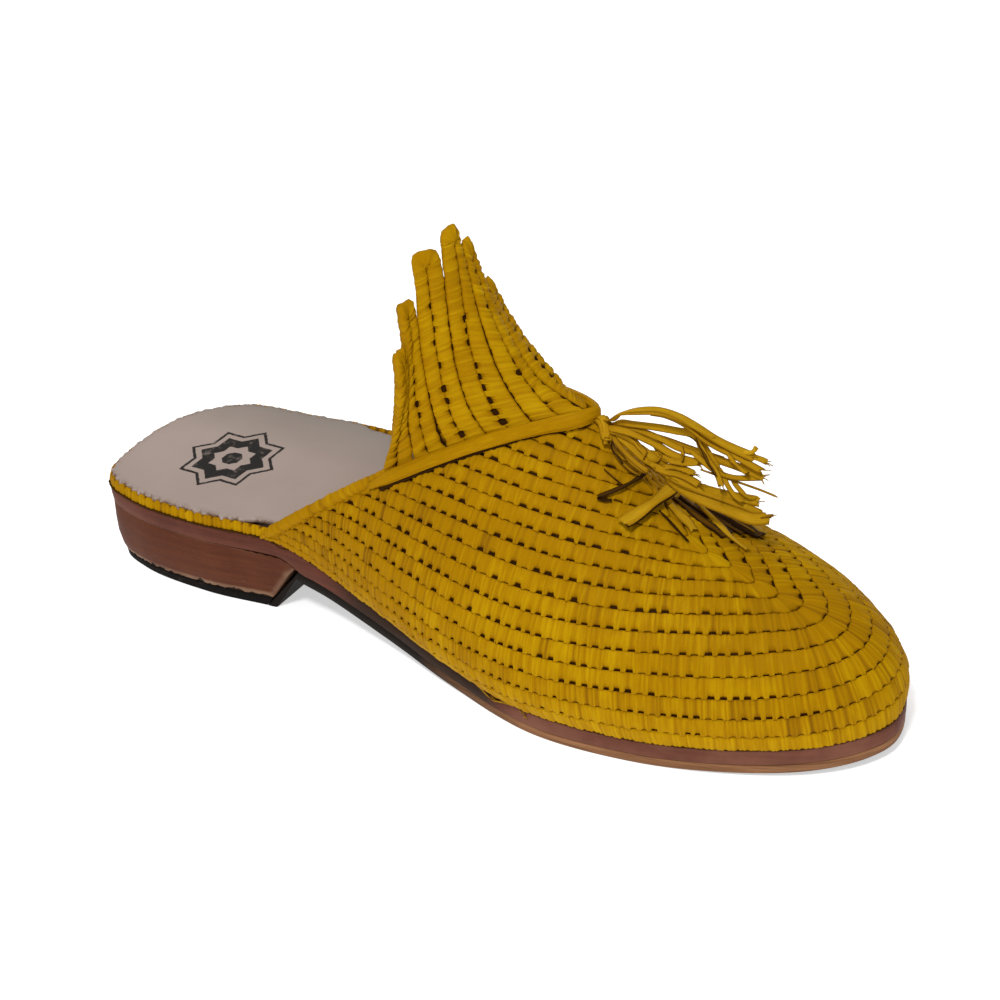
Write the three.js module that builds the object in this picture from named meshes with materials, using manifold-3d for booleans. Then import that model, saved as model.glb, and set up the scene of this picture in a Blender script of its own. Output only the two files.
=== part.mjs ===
// Raffia slipper, left foot: an open-backed slipper with a crocheted raffia vamp whose rows rise
// into a standing tongue of looped fingers, on a low stacked leather heel.
// Millimetres. +X to the toe, +Y to the outer side, +Z up. The sole's heel back is at x = 0 here,
// and the finished group is moved so that its origin is the middle of its box, on the floor.

import * as THREE from 'three';
import Module from 'manifold-3d';
import { mergeVertices } from 'three/addons/utils/BufferGeometryUtils.js';

const wasm = await Module();
wasm.setup();

// ---------------------------------------------------------------- driving dimensions

const LENGTH = 265; // sole, heel back to toe tip
const TOE_SIDE = -5.4; // the toe tip lies this far to the inner side
const SEAM_GAP = 0.3; // room between pieces that meet

const OUTSOLE_THICK = 2.9;
const OUTSOLE_EDGE = 0.3; // the outsole's edge stands in from the midsole's
const HEEL_EDGE = 0.2; // and so does the heel's
const HEEL_MIDSOLE = 5.7; // midsole thickness over the heel block
const LIFT_THICK = 3.2; // rubber top lift
const BREAST_FOOT = 70.5; // heel's front face at the floor
const BREAST_LEAN = 9.5; // the face leans forward this much going up to the waist
const BREAST_SHEET = 3.4; // outsole turned down over the breast
const BREAST_BLEND = 12; // the midsole's underside comes down to the outsole over this length
const HEEL_TAPER = 0.7; // the heel narrows this much on each side towards the floor

const INSOLE_THICK = 3.7;
const INSOLE_LIP = 1.4; // thickness of the sock's edge where it covers the rand
const INSOLE_LIP_INSET = 0.9;
const INSOLE_CORE_INSET = 4.3;
const INSOLE_FRONT_INSET = 3.4; // inside the upper
const INSOLE_JOIN = 0.4; // core and lip run this far into each other
const RAND_WIDTH = 3.0;
const RAND_INSET = 0.6;
const RAND_BULGE = 0.5;
const RAND_STOP = 0.004; // the rand stops short of the upper by this share of the outline

const WALL = 1.7; // raffia wall under the rows
const ROW_RISE = 1.1; // a row stands this proud of the grooves
const ROWS = 18; // rows from the sole to the crest at the throat
const TOE_ROWS = 8; // rows that go right round the toe
const UPPER_INSET = 0.3;
const EDGE_RISE = 0.3; // proud height along a finger's edges
const FINGER_LEVEL = 6; // distance between the levels worked out up a finger
const ROW_STEP = 0.5; // points per row are worked out at its grooves and its middle

const BAND_WIDTH = 5.0;
const BAND_HEIGHT = 3.0;
const BAND_FORWARD = 1.2; // the band lies this far in front of the tongue's root
const BAND_LIFT = 0.8; // and this far clear of the rows
const TRIM_THICK = 4.2;
const TRIM_LIFT = -0.3; // the trim sits this much lower than the wall's outer face
const TRIM_CLEAR = 0.45; // room between the wall's raw edge and the trim
const TRIM_CLIMB = { from: 6.4, rows: 2.4, lift: 0.9 }; // rows over which the trim climbs on to the wall
const BAND_ROWS = { first: 0.8, last: 17.65 }; // rows where the trim starts and each side's band ends

// ---------------------------------------------------------------- sections

// sole outline: half widths either side of the heel-to-toe axis
const SOLE_SECTIONS = [
  { x: 4, inner: 21.8, outer: 16.5 },
  { x: 18, inner: 27.9, outer: 29.5 },
  { x: 45, inner: 29.4, outer: 33.5 },
  { x: 80, inner: 26.0, outer: 36.5 }, // waist
  { x: 115, inner: 29.9, outer: 34.5 },
  { x: 145, inner: 36.3, outer: 38.5 },
  { x: 175, inner: 42.4, outer: 43.5 }, // ball
  { x: 205, inner: 40.0, outer: 41.0 },
  { x: 230, inner: 33.4, outer: 33.0 },
  { x: 250, inner: 24.3, outer: 20.5 },
  { x: 261, inner: 14.6, outer: 8.5 },
];

// side view of the sole: underside of the outsole, and top of the midsole
const SOLE_PROFILE = [
  { x: -5, under: 17.0, top: 25.6 },
  { x: 60, under: 17.0, top: 25.6 },
  { x: 72, under: 15.0, top: 25.3 },
  { x: 82, under: 12.0, top: 23.5 },
  { x: 92, under: 10.2, top: 20.6 },
  { x: 105, under: 7.4, top: 16.8 },
  { x: 120, under: 4.4, top: 13.1 },
  { x: 140, under: 1.3, top: 9.5 },
  { x: 158, under: 0, top: 8.0 },
  { x: 203, under: 0, top: 7.9 }, // flat tread under the ball ends here
  { x: 230, under: 0.8, top: 8.7 },
  { x: 250, under: 2.0, top: 9.9 },
  { x: 266, under: 3.4, top: 11.3 }, // toe spring
  { x: 280, under: 4.6, top: 12.5 },
];

// crest of the vamp, from the throat down to the last eye of the crochet
const CREST = [
  { x: 174, y: 2, z: 77.5 },
  { x: 179, y: 1, z: 71.5 },
  { x: 189, y: -1, z: 63 },
  { x: 200, y: -3.5, z: 54.5 },
  { x: 211, y: -6, z: 48.5 },
  { x: 221, y: -6, z: 44.5 },
  { x: 232.5, y: -6, z: 39.5 },
];

// ribs of the vamp, from the throat's inner corner round the toe to its outer corner. Each rib is a
// curve from the feather line up to the crest: along = share of the way round, down = share of the
// way down the crest, foot and head = how the curve leaves its two ends, pack = how closely the
// rows lie near the sole
const RIBS = [
  { along: 0.0, down: 0.0, foot: [32, 0, 22], head: [-25, -21, 0.5], pack: 0.77 },
  { along: 0.035, down: 0.15, foot: [24, -8, 25], head: [-20, -24, 1], pack: 0.82 },
  { along: 0.125, down: 0.36, foot: [6, -17, 19], head: [-9, -27, 1], pack: 1.03 },
  { along: 0.26, down: 0.59, foot: [-4, -12, 16.5], head: [-8, -24, 1], pack: 1.12 },
  { along: 0.335, down: 0.85, foot: [0, -7.5, 14.5], head: [-1, -22, 2], pack: 1.07 },
  { along: 0.42, down: 1.0, foot: [1, -4.5, 13.5], head: [1, -17, 1.5], pack: 1.0 },
  { along: 0.46, down: 1.0, foot: [1.5, -3, 15], head: [10, -12, 0.5], pack: 1.0 },
  { along: 0.5, down: 1.0, foot: [4, 1, 17.5], head: [18, 0, -2], pack: 1.05 },
  { along: 0.54, down: 1.0, foot: [3, 3, 14], head: [10, 13, 0.5], pack: 1.0 },
  { along: 0.58, down: 1.0, foot: [1, 4.5, 15], head: [2, 18, 1], pack: 1.0 },
  { along: 0.66, down: 0.8, foot: [0, 7, 15], head: [-1, 22, 1.5], pack: 1.07 },
  { along: 0.75, down: 0.57, foot: [-3, 11, 17], head: [-8, 24, 1], pack: 1.1 },
  { along: 0.87, down: 0.36, foot: [6, 14, 20], head: [-10, 26, 0], pack: 1.03 },
  { along: 0.965, down: 0.15, foot: [24, 8, 25], head: [-20, 22, -2], pack: 0.82 },
  { along: 1.0, down: 0.0, foot: [32, 2, 22], head: [-25, 17, -2], pack: 0.77 },
];

// fingers of the tongue. A cord is counted from the crest: below 0 to the inner side, above 0 to
// the outer side. tip is the top of the finger, foot and head bend it between throat and tip
const FINGERS = [
  { from: -8.5, to: -7, tip: [131.3, -20.5, 99.3], foot: [2, 0, 14], head: [0, 0, -12] },
  { from: -7, to: -5, tip: [130.2, -13.5, 110.4], foot: [-4, 0, 13], head: [1, -1, -14] },
  { from: -5, to: -3, tip: [133.1, -6.5, 122.9], foot: [-10, 0, 11], head: [1.5, -1, -18] },
  { from: -3, to: -1, tip: [136.8, 0.5, 126.7], foot: [-14, 0, 8], head: [1.5, 0, -20] },
  { from: -1, to: 1, tip: [137.2, 6.8, 118], foot: [-16, 1, 6], head: [3, 0, -17] },
  { from: 1, to: 3, tip: [138.5, 13.5, 102], foot: [-14, 2, 7], head: [2.5, 1, -12] },
  { from: 3, to: 5, tip: [137, 19.5, 88.5], foot: [-8, 2, 9], head: [1.5, 1, -8] },
];
const FINGER_SPLIT = 7; // the slit between two fingers starts this far below the shorter one's tip
const SLIT_SHARE = 0.09; // half the slit's width, as a share of a cord
const FINGER_ROUND = 4.2; // a finger's top is rounded by this much

// tassel strips: end of each strip, how high it arches on the way, and its width
const TASSEL_ROOT = { down: 0.16, above: 3.2 }; // share down the crest, and height of the knot
const STRIP_THICK = 1.0;
const STRIP_NECK = 0.55; // share of its width that a strip has at the knot
const TASSEL_STRIPS = [
  { end: [222, 12, 55], arch: 14, width: 2.8 },
  { end: [231, 9, 51], arch: 11, width: 2.4 },
  { end: [232, 3, 49], arch: 8, width: 2.8 },
  { end: [229, -3, 48.5], arch: 6, width: 2.4 },
  { end: [224, -7, 50], arch: 4, width: 2.8 },
  { end: [213, -14, 52.5], arch: 3, width: 2.4 },
  { end: [201, -20, 57], arch: 2.5, width: 2.4 },
  { end: [221, 2, 52.5], arch: 9, width: 3.0 },
];

// ---------------------------------------------------------------- number helpers

// smooth curve through table rows that never overshoots them (monotone cubic)
function throughRows(rows, key, pick) {
  const xs = rows.map((row) => row[key]);
  const ys = rows.map(pick);
  const last = xs.length - 1;
  const step = (i) => (ys[i + 1] - ys[i]) / (xs[i + 1] - xs[i]);
  const slopes = xs.map((x, i) => {
    if (i === 0) return step(0);
    if (i === last) return step(last - 1);
    const before = step(i - 1);
    const after = step(i);
    if (before * after <= 0) return 0;
    const left = xs[i] - xs[i - 1];
    const right = xs[i + 1] - xs[i];
    return (3 * (left + right)) / ((2 * right + left) / before + (right + 2 * left) / after);
  });
  return (x) => {
    let i = 0;
    while (i < last - 1 && x > xs[i + 1]) i += 1;
    const width = xs[i + 1] - xs[i];
    const t = Math.min(Math.max((x - xs[i]) / width, 0), 1);
    const back = 1 - t;
    return (
      ys[i] * (1 + 2 * t) * back * back +
      slopes[i] * width * t * back * back +
      ys[i + 1] * t * t * (3 - 2 * t) -
      slopes[i + 1] * width * t * t * back
    );
  };
}

const vec = (x, y, z) => new THREE.Vector3(x, y, z);
const cross = (a, b) => new THREE.Vector3().crossVectors(a, b);
const ease = (t) => t * t * (3 - 2 * t);
const clamp01 = (t) => Math.min(Math.max(t, 0), 1);

function bezier(a, b, c, d, t) {
  const back = 1 - t;
  return a.clone().multiplyScalar(back * back * back)
    .addScaledVector(b, 3 * back * back * t)
    .addScaledVector(c, 3 * back * t * t)
    .addScaledVector(d, t * t * t);
}

// ---------------------------------------------------------------- solids from meshes

function meshGeometry(points, faces) {
  const geometry = new THREE.BufferGeometry();
  const numbers = points.flatMap((p) => [p.x, p.y, p.z]);
  geometry.setAttribute('position', new THREE.Float32BufferAttribute(numbers, 3));
  geometry.setIndex(faces.flat());
  return geometry;
}

// closed mesh with its faces turned outwards
function closedMesh(points, faces) {
  const volume = faces.reduce((sum, [a, b, c]) => {
    return sum + points[a].dot(cross(points[b], points[c]));
  }, 0);
  const turned = volume < 0 ? faces.map(([a, b, c]) => [a, c, b]) : faces;
  return meshGeometry(points, turned);
}

function toSolid(geometry) {
  const bare = geometry.clone();
  bare.deleteAttribute('normal');
  bare.deleteAttribute('uv');
  const merged = mergeVertices(bare, 1e-4);
  const mesh = new wasm.Mesh({
    numProp: 3,
    vertProperties: merged.attributes.position.array,
    triVerts: Uint32Array.from(merged.index.array),
  });
  return new wasm.Manifold(mesh);
}

function fromSolid(solid) {
  const mesh = solid.getMesh();
  const geometry = new THREE.BufferGeometry();
  geometry.setAttribute('position', new THREE.BufferAttribute(mesh.vertProperties, 3));
  geometry.setIndex(new THREE.BufferAttribute(mesh.triVerts, 1));
  return geometry;
}

function node(name, geometry, look) {
  geometry.computeVertexNormals();
  const mesh = new THREE.Mesh(geometry, new THREE.MeshStandardMaterial(look));
  mesh.name = name;
  return mesh;
}

// closed tube through rings of points, with flat ends
function tube(rings, closed) {
  const count = rings[0].length;
  const points = rings.flat();
  const faces = [];
  const turns = closed ? rings.length : rings.length - 1;
  for (let i = 0; i < turns; i += 1) {
    const here = i * count;
    const next = ((i + 1) % rings.length) * count;
    for (let k = 0; k < count; k += 1) {
      const k2 = (k + 1) % count;
      faces.push([here + k, next + k, next + k2], [here + k, next + k2, here + k2]);
    }
  }
  if (!closed) {
    const end = (rings.length - 1) * count;
    for (let k = 1; k < count - 1; k += 1) {
      faces.push([0, k, k + 1], [end, end + k + 1, end + k]);
    }
  }
  return closedMesh(points, faces);
}

// ---------------------------------------------------------------- sole outline

const outlineCurve = new THREE.CatmullRomCurve3(
  [
    vec(0, 0, 0),
    ...SOLE_SECTIONS.map((s) => vec(s.x, -s.inner, 0)),
    vec(LENGTH, TOE_SIDE, 0),
    ...[...SOLE_SECTIONS].reverse().map((s) => vec(s.x, s.outer, 0)),
  ],
  true,
  'centripetal',
);
outlineCurve.arcLengthDivisions = 1600;

// point of the outline at a share of its length, moved inwards
function outlineAt(share, inset) {
  const wrapped = share - Math.floor(share);
  const point = outlineCurve.getPointAt(wrapped);
  const tangent = outlineCurve.getTangentAt(wrapped);
  return vec(point.x - tangent.y * inset, point.y + tangent.x * inset, 0);
}

const underAt = throughRows(SOLE_PROFILE, 'x', (row) => row.under);
const topAt = throughRows(SOLE_PROFILE, 'x', (row) => row.top);

const OUTLINE_STEPS = 84;
const OUTLINE_SEARCH = 2000;
const TALL = 60;

// upright prism inside the outline
function outlinePrism(inset, taper = 0) {
  const low = [];
  const high = [];
  for (let i = 0; i < OUTLINE_STEPS; i += 1) {
    const share = i / OUTLINE_STEPS;
    const foot = outlineAt(share, inset + taper);
    const head = outlineAt(share, inset);
    low.push(vec(foot.x, foot.y, taper ? 0 : -TALL));
    high.push(vec(head.x, head.y, taper ? topAt(0) : TALL));
  }
  return toSolid(tube([low, high], false));
}

// side view drawn in x and z, carried right across the shoe
function profileSlab(corners) {
  const shape = new THREE.Shape(corners.map(([x, z]) => new THREE.Vector2(x, z)));
  const slab = new THREE.ExtrudeGeometry(shape, { depth: 2 * TALL, bevelEnabled: false });
  slab.rotateX(Math.PI / 2);
  slab.translate(0, TALL, 0);
  return toSolid(slab);
}

const breastAt = (z) => BREAST_FOOT + (BREAST_LEAN * z) / underAt(BREAST_FOOT + BREAST_LEAN);
const WAIST_X = BREAST_FOOT + BREAST_LEAN;
const FRONT_X = LENGTH + 10;
const BACK_X = -5;

// stations of the side view: close together round the heel's breast, wider elsewhere
const STATIONS = [BACK_X, 30];
for (let x = 52; x < 94; x += 3) STATIONS.push(x);
for (let x = 95; x < FRONT_X; x += 8) STATIONS.push(x);
STATIONS.push(FRONT_X);

// a height read along straight runs between the stations, so that neighbouring layers stay parallel
function onStations(height) {
  const heights = STATIONS.map(height);
  return (x) => {
    let i = 0;
    while (i < STATIONS.length - 2 && x > STATIONS[i + 1]) i += 1;
    const t = (x - STATIONS[i]) / (STATIONS[i + 1] - STATIONS[i]);
    return heights[i] + (heights[i + 1] - heights[i]) * t;
  };
}

// corners along a height from one x to another
function runAlong(height, fromX, toX) {
  const [low, high] = [Math.min(fromX, toX), Math.max(fromX, toX)];
  const inside = STATIONS.filter((x) => x > low + 0.2 && x < high - 0.2);
  const run = [low, ...inside, high].map((x) => [x, height(x)]);
  return fromX < toX ? run : run.reverse();
}

const layerCorners = (low, high) => [...runAlong(low, BACK_X, FRONT_X), ...runAlong(high, FRONT_X, BACK_X)];

const seatUnder = topAt(0) - HEEL_MIDSOLE; // underside of the midsole over the heel
const tread = onStations(underAt);
const soleTop = onStations(topAt);
const midsoleUnder = onStations((x) => {
  const forward = underAt(x) + OUTSOLE_THICK + SEAM_GAP;
  const t = clamp01((x - (breastAt(seatUnder) - BREAST_BLEND)) / BREAST_BLEND);
  return seatUnder + (forward - seatUnder) * ease(t);
});
const outsoleTop = (x) => midsoleUnder(x) - SEAM_GAP;

function midsoleGeometry() {
  return fromSolid(outlinePrism(0).intersect(profileSlab(layerCorners(midsoleUnder, soleTop))));
}

// the outsole runs under the forefoot and waist and is turned down over the breast of the heel
function outsoleGeometry() {
  const backTop = breastAt(seatUnder) - BREAST_SHEET;
  const corners = [
    ...runAlong(tread, WAIST_X, FRONT_X),
    ...runAlong(outsoleTop, FRONT_X, backTop),
    [breastAt(0) - BREAST_SHEET, 0],
    [breastAt(0), 0],
  ];
  return fromSolid(outlinePrism(OUTSOLE_EDGE).intersect(profileSlab(corners)));
}

// a layer of the heel between two heights, cut off behind the turned-down outsole
function heelPiece(low, high) {
  const front = (z) => breastAt(z) - BREAST_SHEET - SEAM_GAP;
  const topFront = front(seatUnder);
  const corners = [
    [BACK_X, low],
    [front(low), low],
    ...(high ? [[front(high), high], [BACK_X, high]] : runAlong(outsoleTop, topFront, BACK_X)),
  ];
  return fromSolid(outlinePrism(HEEL_EDGE, HEEL_TAPER).intersect(profileSlab(corners)));
}

const heelBlockGeometry = () => heelPiece(LIFT_THICK + SEAM_GAP);
const topLiftGeometry = () => heelPiece(0, LIFT_THICK);

// ---------------------------------------------------------------- insole and rand

const UPPER_START_X = 71;
// the sock's lip draws in where the upper begins, so that it lies inside the upper
const insoleLip = (x) => {
  const t = clamp01((x - (UPPER_START_X - 9)) / 7);
  return INSOLE_LIP_INSET + (INSOLE_FRONT_INSET - INSOLE_LIP_INSET) * ease(t);
};
const insoleCore = (x) => {
  const t = clamp01((x - (UPPER_START_X - 4)) / 12);
  return INSOLE_CORE_INSET + (INSOLE_FRONT_INSET + 0.2 - INSOLE_CORE_INSET) * ease(t);
};
const insoleUnder = (x) => soleTop(x) + SEAM_GAP;
const insoleTop = (x) => insoleUnder(x) + INSOLE_THICK;

function insetPrism(insetAt) {
  const low = [];
  const high = [];
  for (let i = 0; i < OUTLINE_STEPS; i += 1) {
    const share = i / OUTLINE_STEPS;
    const point = outlineAt(share, insetAt(outlineAt(share, 0).x));
    low.push(vec(point.x, point.y, -TALL));
    high.push(vec(point.x, point.y, TALL));
  }
  return toSolid(tube([low, high], false));
}

function insoleGeometry() {
  const lipUnder = (x) => insoleTop(x) - INSOLE_LIP;
  const intoLip = (x) => lipUnder(x) + INSOLE_JOIN;
  const core = insetPrism(insoleCore).intersect(profileSlab(layerCorners(insoleUnder, intoLip)));
  const lip = insetPrism(insoleLip).intersect(profileSlab(layerCorners(lipUnder, insoleTop)));
  return fromSolid(core.add(lip));
}

// share of the outline's length where one side passes a given x
function shareAtX(x, side) {
  let best = 0;
  let near = Infinity;
  for (let i = 0; i < OUTLINE_SEARCH; i += 1) {
    const point = outlineAt(i / OUTLINE_SEARCH, 0);
    const miss = Math.abs(point.x - x);
    if (Math.sign(point.y) === side && miss < near) {
      near = miss;
      best = i / OUTLINE_SEARCH;
    }
  }
  return best;
}

const innerCorner = shareAtX(UPPER_START_X, -1);
const outerCorner = shareAtX(UPPER_START_X + 2, 1);

function randGeometry() {
  const rings = [];
  const steps = 40;
  const from = outerCorner + RAND_STOP;
  const to = 1 + innerCorner - RAND_STOP;
  const low = SEAM_GAP;
  const high = INSOLE_THICK - INSOLE_LIP;
  for (let i = 0; i <= steps; i += 1) {
    const share = from + ((to - from) * i) / steps;
    const outer = outlineAt(share, RAND_INSET);
    const inner = outlineAt(share, RAND_INSET + RAND_WIDTH);
    const bulge = outlineAt(share, RAND_INSET - RAND_BULGE);
    const z = topAt(outer.x);
    rings.push([
      vec(inner.x, inner.y, z + low),
      vec(inner.x, inner.y, z + high),
      vec(outer.x, outer.y, z + high),
      vec(bulge.x, bulge.y, z + (low + high) / 2),
      vec(outer.x, outer.y, z + low),
    ]);
  }
  return tube(rings, false);
}

// ---------------------------------------------------------------- vamp surface

const crestCurve = new THREE.CatmullRomCurve3(CREST.map((c) => vec(c.x, c.y, c.z)), false, 'centripetal');
crestCurve.arcLengthDivisions = 400;

const ribDown = throughRows(RIBS, 'along', (rib) => rib.down);
const ribPack = throughRows(RIBS, 'along', (rib) => rib.pack);
const ribFoot = [0, 1, 2].map((k) => throughRows(RIBS, 'along', (rib) => rib.foot[k]));
const ribHead = [0, 1, 2].map((k) => throughRows(RIBS, 'along', (rib) => rib.head[k]));
const rowsAt = (along) => ROWS - (ROWS - TOE_ROWS) * ribDown(along);

// point of the vamp: along = share of the way round the feather line, row = rows up from the sole
function vampPoint(along, row) {
  const share = innerCorner + (outerCorner - innerCorner) * along;
  const foot = outlineAt(share, UPPER_INSET);
  foot.z = topAt(foot.x) + SEAM_GAP;
  const head = crestCurve.getPointAt(clamp01(ribDown(along)));
  const footArm = foot.clone().add(vec(...ribFoot.map((f) => f(along))));
  const headArm = head.clone().add(vec(...ribHead.map((f) => f(along))));
  const t = clamp01(row / rowsAt(along)) ** (1 / ribPack(along));
  return bezier(foot, footArm, headArm, head, t);
}

// place on the feather line whose rib ends a given share down the crest, between two places
function alongWhereDown(down, throatEnd, toeEnd) {
  let [high, low] = [throatEnd, toeEnd];
  for (let i = 0; i < 40; i += 1) {
    const middle = (high + low) / 2;
    if (ribDown(middle) < down) high = middle;
    else low = middle;
  }
  return down === 0 ? throatEnd : (high + low) / 2;
}

const atEnds = (value, i, list) => i === 0 || i === list.length - 1;

// ---------------------------------------------------------------- tongue surface

// a cord of the tongue leaves the throat where its row of the vamp ends
const throatPoint = (cord) => vampPoint(cord <= 0 ? 0 : 1, ROWS - Math.abs(cord));

function fingerPath(finger) {
  const start = throatPoint((finger.from + finger.to) / 2);
  const tip = vec(...finger.tip);
  const startArm = start.clone().add(vec(...finger.foot));
  const tipArm = tip.clone().add(vec(...finger.head));
  const points = [];
  for (let i = 0; i <= 24; i += 1) points.push(bezier(start, startArm, tipArm, tip, i / 24));
  const lengths = [0];
  for (let i = 1; i < points.length; i += 1) {
    lengths.push(lengths[i - 1] + points[i].distanceTo(points[i - 1]));
  }
  return { middle: (finger.from + finger.to) / 2, points, lengths, total: lengths[lengths.length - 1] };
}

const fingerPaths = FINGERS.map(fingerPath);

// point of one finger's middle at a height along it, carried on straight past its tip
function alongFinger(path, height) {
  const last = path.points.length - 1;
  let i = 0;
  while (i < last - 1 && height > path.lengths[i + 1]) i += 1;
  const t = (height - path.lengths[i]) / (path.lengths[i + 1] - path.lengths[i]);
  return path.points[i].clone().lerp(path.points[i + 1], t);
}

// point of the tongue: cord = place across it, height = distance up from the throat
function tonguePoint(cord, height) {
  const rows = fingerPaths.map((path) => ({ middle: path.middle, at: alongFinger(path, height) }));
  const across = ['x', 'y', 'z'].map((axis) => throughRows(rows, 'middle', (row) => row.at[axis]));
  const inside = Math.min(Math.max(cord, rows[0].middle), rows[rows.length - 1].middle);
  const point = vec(...across.map((f) => f(inside)));
  if (cord !== inside) {
    const nudge = cord < inside ? 0.5 : -0.5;
    const before = vec(...across.map((f) => f(inside + nudge)));
    point.addScaledVector(before.sub(point), (cord - inside) / nudge);
  }
  // near the throat it runs into the end of its own row
  const blend = ease(clamp01(height / 14));
  return throatPoint(cord).add(alongShift(cord, height)).lerp(point, blend);
}

// how far the nearest finger has moved from its own start at this height
function alongShift(cord, height) {
  const path = fingerPaths.find((p, i) => cord <= FINGERS[i].to) ?? fingerPaths[fingerPaths.length - 1];
  return alongFinger(path, height).sub(path.points[0]);
}

// ---------------------------------------------------------------- upper: one crocheted wall

function upperGeometry() {
  const base = []; // points of the middle surface
  const rise = []; // how far each stands proud
  const faces = [];
  const flat = new Set(); // points of the bottom edge, kept level
  const add = (point, proud) => {
    base.push(point);
    rise.push(proud);
    return base.length - 1;
  };
  const proudOf = (row) => ROW_RISE * Math.sin(Math.PI * (row - Math.floor(row)));

  // strip of triangles between two columns of points, each given as { id, t }
  const strip = (left, right) => {
    let i = 0;
    let k = 0;
    while (i < left.length - 1 || k < right.length - 1) {
      const canLeft = i < left.length - 1;
      const canRight = k < right.length - 1;
      const goLeft = canLeft && (!canRight || left[i + 1].t <= right[k + 1].t);
      const third = goLeft ? left[i + 1].id : right[k + 1].id;
      if (left[i].id !== right[k].id && third !== left[i].id && third !== right[k].id) {
        faces.push([left[i].id, right[k].id, third]);
      }
      if (goLeft) i += 1;
      else k += 1;
    }
  };

  // columns of the vamp, from the inner corner round the toe to the outer corner; a column of one
  // side and its twin of the other side end at the same point of the crest
  const sideColumns = 17;
  const toeColumns = 14;
  const [firstToe, lastToe] = RIBS.filter((rib) => rib.down === 1).map((rib) => rib.along).filter(atEnds);
  const downs = Array.from({ length: sideColumns }, (_, i) => i / sideColumns);
  const innerAlong = downs.map((down) => alongWhereDown(down, 0, firstToe));
  const outerAlong = downs.map((down) => alongWhereDown(down, 1, lastToe)).reverse();
  const toeAlong = [];
  for (let i = 0; i <= toeColumns; i += 1) {
    toeAlong.push(firstToe + ((lastToe - firstToe) * i) / toeColumns);
  }
  const crestIds = new Map();
  const columns = [...innerAlong, ...toeAlong, ...outerAlong].map((along) => {
    const top = rowsAt(along);
    const column = [];
    for (let row = 0; row < top - ROW_STEP / 2; row += ROW_STEP) {
      const id = add(vampPoint(along, row), proudOf(row));
      if (row === 0) flat.add(id);
      column.push({ id, t: row });
    }
    const key = Math.round(top * 1000);
    if (!crestIds.has(key)) crestIds.set(key, add(vampPoint(along, top), 0));
    column.push({ id: crestIds.get(key), t: top });
    return column;
  });
  for (let i = 0; i < columns.length - 1; i += 1) strip(columns[i], columns[i + 1]);

  // the tongue grows from the ends of the rows, finger by finger
  const innerThroat = columns[0];
  const outerThroat = columns[columns.length - 1];
  const throatId = (cord) => {
    const side = cord <= 0 ? innerThroat : outerThroat;
    return side.find((p) => Math.abs(p.t - (ROWS - Math.abs(cord))) < 1e-6).id;
  };
  let before = null;
  FINGERS.forEach((finger, f) => {
    const path = fingerPaths[f];
    const columnsHere = [];
    for (let cord = finger.from; cord <= finger.to + 1e-6; cord += ROW_STEP) {
      const edge = cord === finger.from || cord === finger.to;
      const inwards = cord === finger.from ? SLIT_SHARE : -SLIT_SHARE;
      const place = edge ? cord + inwards : cord;
      const offMiddle = (place - path.middle) / ((finger.to - finger.from) / 2);
      const top = path.total - FINGER_ROUND * (1 - Math.sqrt(Math.max(1 - offMiddle * offMiddle, 0)));
      const column = [{ id: throatId(cord), t: 0 }];
      for (let level = FINGER_LEVEL; level < top - FINGER_LEVEL / 3; level += FINGER_LEVEL) {
        column.push({ id: add(tonguePoint(place, level), edge ? EDGE_RISE : proudOf(cord)), t: level });
      }
      column.push({ id: add(tonguePoint(place, top), EDGE_RISE), t: top });
      columnsHere.push(column);
    }
    for (let i = 0; i < columnsHere.length - 1; i += 1) strip(columnsHere[i], columnsHere[i + 1]);
    if (before) {
      const slit = Math.min(fingerPaths[f - 1].total, path.total) - FINGER_SPLIT;
      const joined = (column) => column.filter((p) => p.t <= Math.floor(slit / FINGER_LEVEL) * FINGER_LEVEL);
      strip(joined(before), joined(columnsHere[0]));
    }
    before = columnsHere[columnsHere.length - 1];
  });

  // the surface's own normals give the wall its thickness
  const sheet = meshGeometry(base, faces);
  sheet.computeVertexNormals();
  const normals = base.map((p, i) => new THREE.Vector3().fromBufferAttribute(sheet.attributes.normal, i));
  const outside = base.map((p, i) => p.clone().addScaledVector(normals[i], rise[i]));
  const inside = base.map((p, i) => p.clone().addScaledVector(normals[i], -WALL));
  flat.forEach((id) => {
    inside[id].z = base[id].z;
    outside[id].z = base[id].z;
  });
  const shift = base.length;
  const all = faces.map((face) => [...face]);
  faces.forEach(([a, b, c]) => all.push([a + shift, c + shift, b + shift]));
  const edges = new Set(faces.flatMap(([a, b, c]) => [`${a}_${b}`, `${b}_${c}`, `${c}_${a}`]));
  edges.forEach((edge) => {
    const [a, b] = edge.split('_').map(Number);
    if (edges.has(`${b}_${a}`)) return;
    all.push([b, a, a + shift], [b, a + shift, b + shift]);
  });
  return closedMesh([...outside, ...inside], all);
}

// ---------------------------------------------------------------- throat band and trim

// frame of the throat line at a row of one side: point, out of the wall, and away from the vamp
function throatFrame(side, row) {
  const end = side < 0 ? 0 : 1;
  const into = side < 0 ? 0.02 : 0.98;
  const point = vampPoint(end, row);
  const step = row < ROWS - 0.3 ? 0.25 : -0.25;
  const up = vampPoint(end, row + step).sub(point).multiplyScalar(Math.sign(step)).normalize();
  const forward = vampPoint(into, Math.min(row, rowsAt(into))).sub(point);
  const out = (side < 0 ? cross(forward, up) : cross(up, forward)).normalize();
  const away = (side < 0 ? cross(out, up) : cross(up, out)).normalize();
  return { point, out, away };
}

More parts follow.
